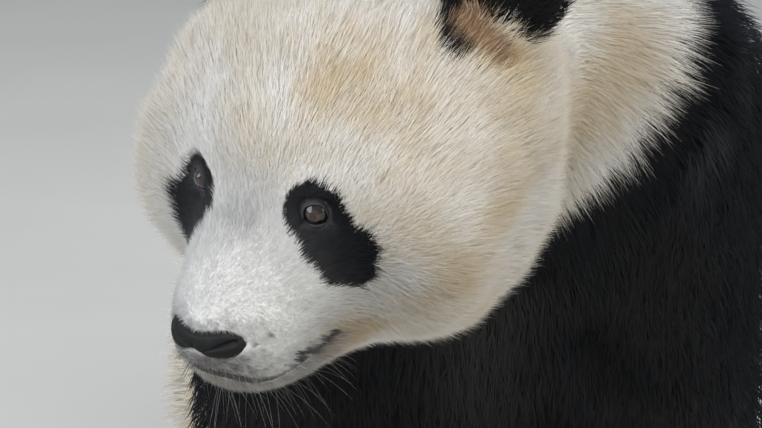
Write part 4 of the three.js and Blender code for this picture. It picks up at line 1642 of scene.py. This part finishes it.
wet_eye, tree = new_material("wet_eye")  # a cornea is clear and wet; the iris behind it is dark brown
spot = add_node(tree, "ShaderNodeUVMap", {"uv_map": "iris"})
centred = add_node(
    tree, "ShaderNodeVectorMath", {"operation": "SUBTRACT", 1: (0.5, 0.5, 0)}, {0: spot.outputs[0]}
)
reach = add_node(tree, "ShaderNodeVectorMath", {"operation": "LENGTH"}, {0: centred.outputs[0]})
rings = add_node(tree, "ShaderNodeValToRGB", links={"Fac": reach.outputs["Value"]})
stops = rings.color_ramp.elements
stops[0].position, stops[0].color = 0.0, linear("040304")
stops[1].position, stops[1].color = 0.110, linear("060404")
for position, colour in IRIS_RINGS:
    stop = stops.new(position)
    stop.color = linear(colour)
shader = add_node(
    tree,
    "ShaderNodeBsdfPrincipled",
    {
        "Roughness": 0.25,
        "IOR": 1.38,
        "Specular IOR Level": 0.1,
        "Coat Weight": 1.0,
        "Coat Roughness": 0.03,
        "Coat IOR": 1.58,
    },
    {"Base Color": rings.outputs[0]},
)
finish_material(tree, shader)
for piece in eyes.values():
    piece.data.materials.append(wet_eye)
print(wet_eye.name, "made of", len(tree.nodes), "nodes")

# %% Tear finish
tears, tree = new_material("tear_film")  # a clear wet bead over pink skin: pale, with a hard glint
shader = add_node(
    tree,
    "ShaderNodeBsdfPrincipled",
    {
        "Base Color": linear("7A6668"),
        "Roughness": 0.08,
        "IOR": 1.34,
        "Coat Weight": 1.0,
        "Coat Roughness": 0.02,
    },
)
finish_material(tree, shader)
for piece in tear_films:
    piece.data.materials.append(tears)
print(tears.name, "made of", len(tree.nodes), "nodes")

# %% [markdown]
# ## Finish of the nose
# The nose is moist bare skin, nearly black and half matt, divided into fine pebbles by shallow creases.
# Cells of a Voronoi pattern are such pebbles, and a broad noise keeps the black from being one flat tone.

# %% Nose finish
PEBBLE, MOTTLE = 1.1 * MM, 6 * MM

leather, tree = new_material("pebbled_nose_leather")  # moist skin: dark, with a soft broken gleam
place = add_node(tree, "ShaderNodeTexCoord")
pebble = add_node(
    tree,
    "ShaderNodeTexVoronoi",
    {"Scale": 1 / PEBBLE},
    {"Vector": place.outputs["Object"]},
)
mottle = add_node(tree, "ShaderNodeTexNoise", {"Scale": 1 / MOTTLE}, {"Vector": place.outputs["Object"]})
bump = add_node(
    tree, "ShaderNodeBump", {"Strength": 0.35, "Distance": 0.3 * MM}, {"Height": pebble.outputs[0]}
)
tone = add_node(
    tree,
    "ShaderNodeMix",
    {"data_type": "RGBA", 6: linear("060606"), 7: linear("0F0F0E")},
    {0: mottle.outputs[0]},
)
shader = add_node(
    tree,
    "ShaderNodeBsdfPrincipled",
    {"Roughness": 0.55, "IOR": 1.38, "Specular IOR Level": 0.36},
    {"Base Color": tone.outputs[2], "Normal": bump.outputs[0]},
)
finish_material(tree, shader)
nose_mesh.materials.append(leather)
print(leather.name, "made of", len(tree.nodes), "nodes")

# %% [markdown]
# ## Finish of the claws
# Claws are layered horn, worn half glossy by the ground. A fine noise streaks them from grey-brown to
# a paler tip colour.

# %% Claw finish
STREAK = 3 * MM

horn, tree = new_material("claw_horn")  # layered keratin: grey-brown, half gloss, streaked
place = add_node(tree, "ShaderNodeTexCoord")
streak = add_node(
    tree, "ShaderNodeTexNoise", {"Scale": 1 / STREAK, "Detail": 4}, {"Vector": place.outputs["Object"]}
)
tone = add_node(
    tree,
    "ShaderNodeMix",
    {"data_type": "RGBA", 6: linear("5B5248"), 7: linear("9A8F7F")},
    {0: streak.outputs[0]},
)
shader = add_node(tree, "ShaderNodeBsdfPrincipled", {"Roughness": 0.35}, {"Base Color": tone.outputs[2]})
finish_material(tree, shader)
claw_mesh.materials.append(horn)
print(horn.name, "made of", len(tree.nodes), "nodes")
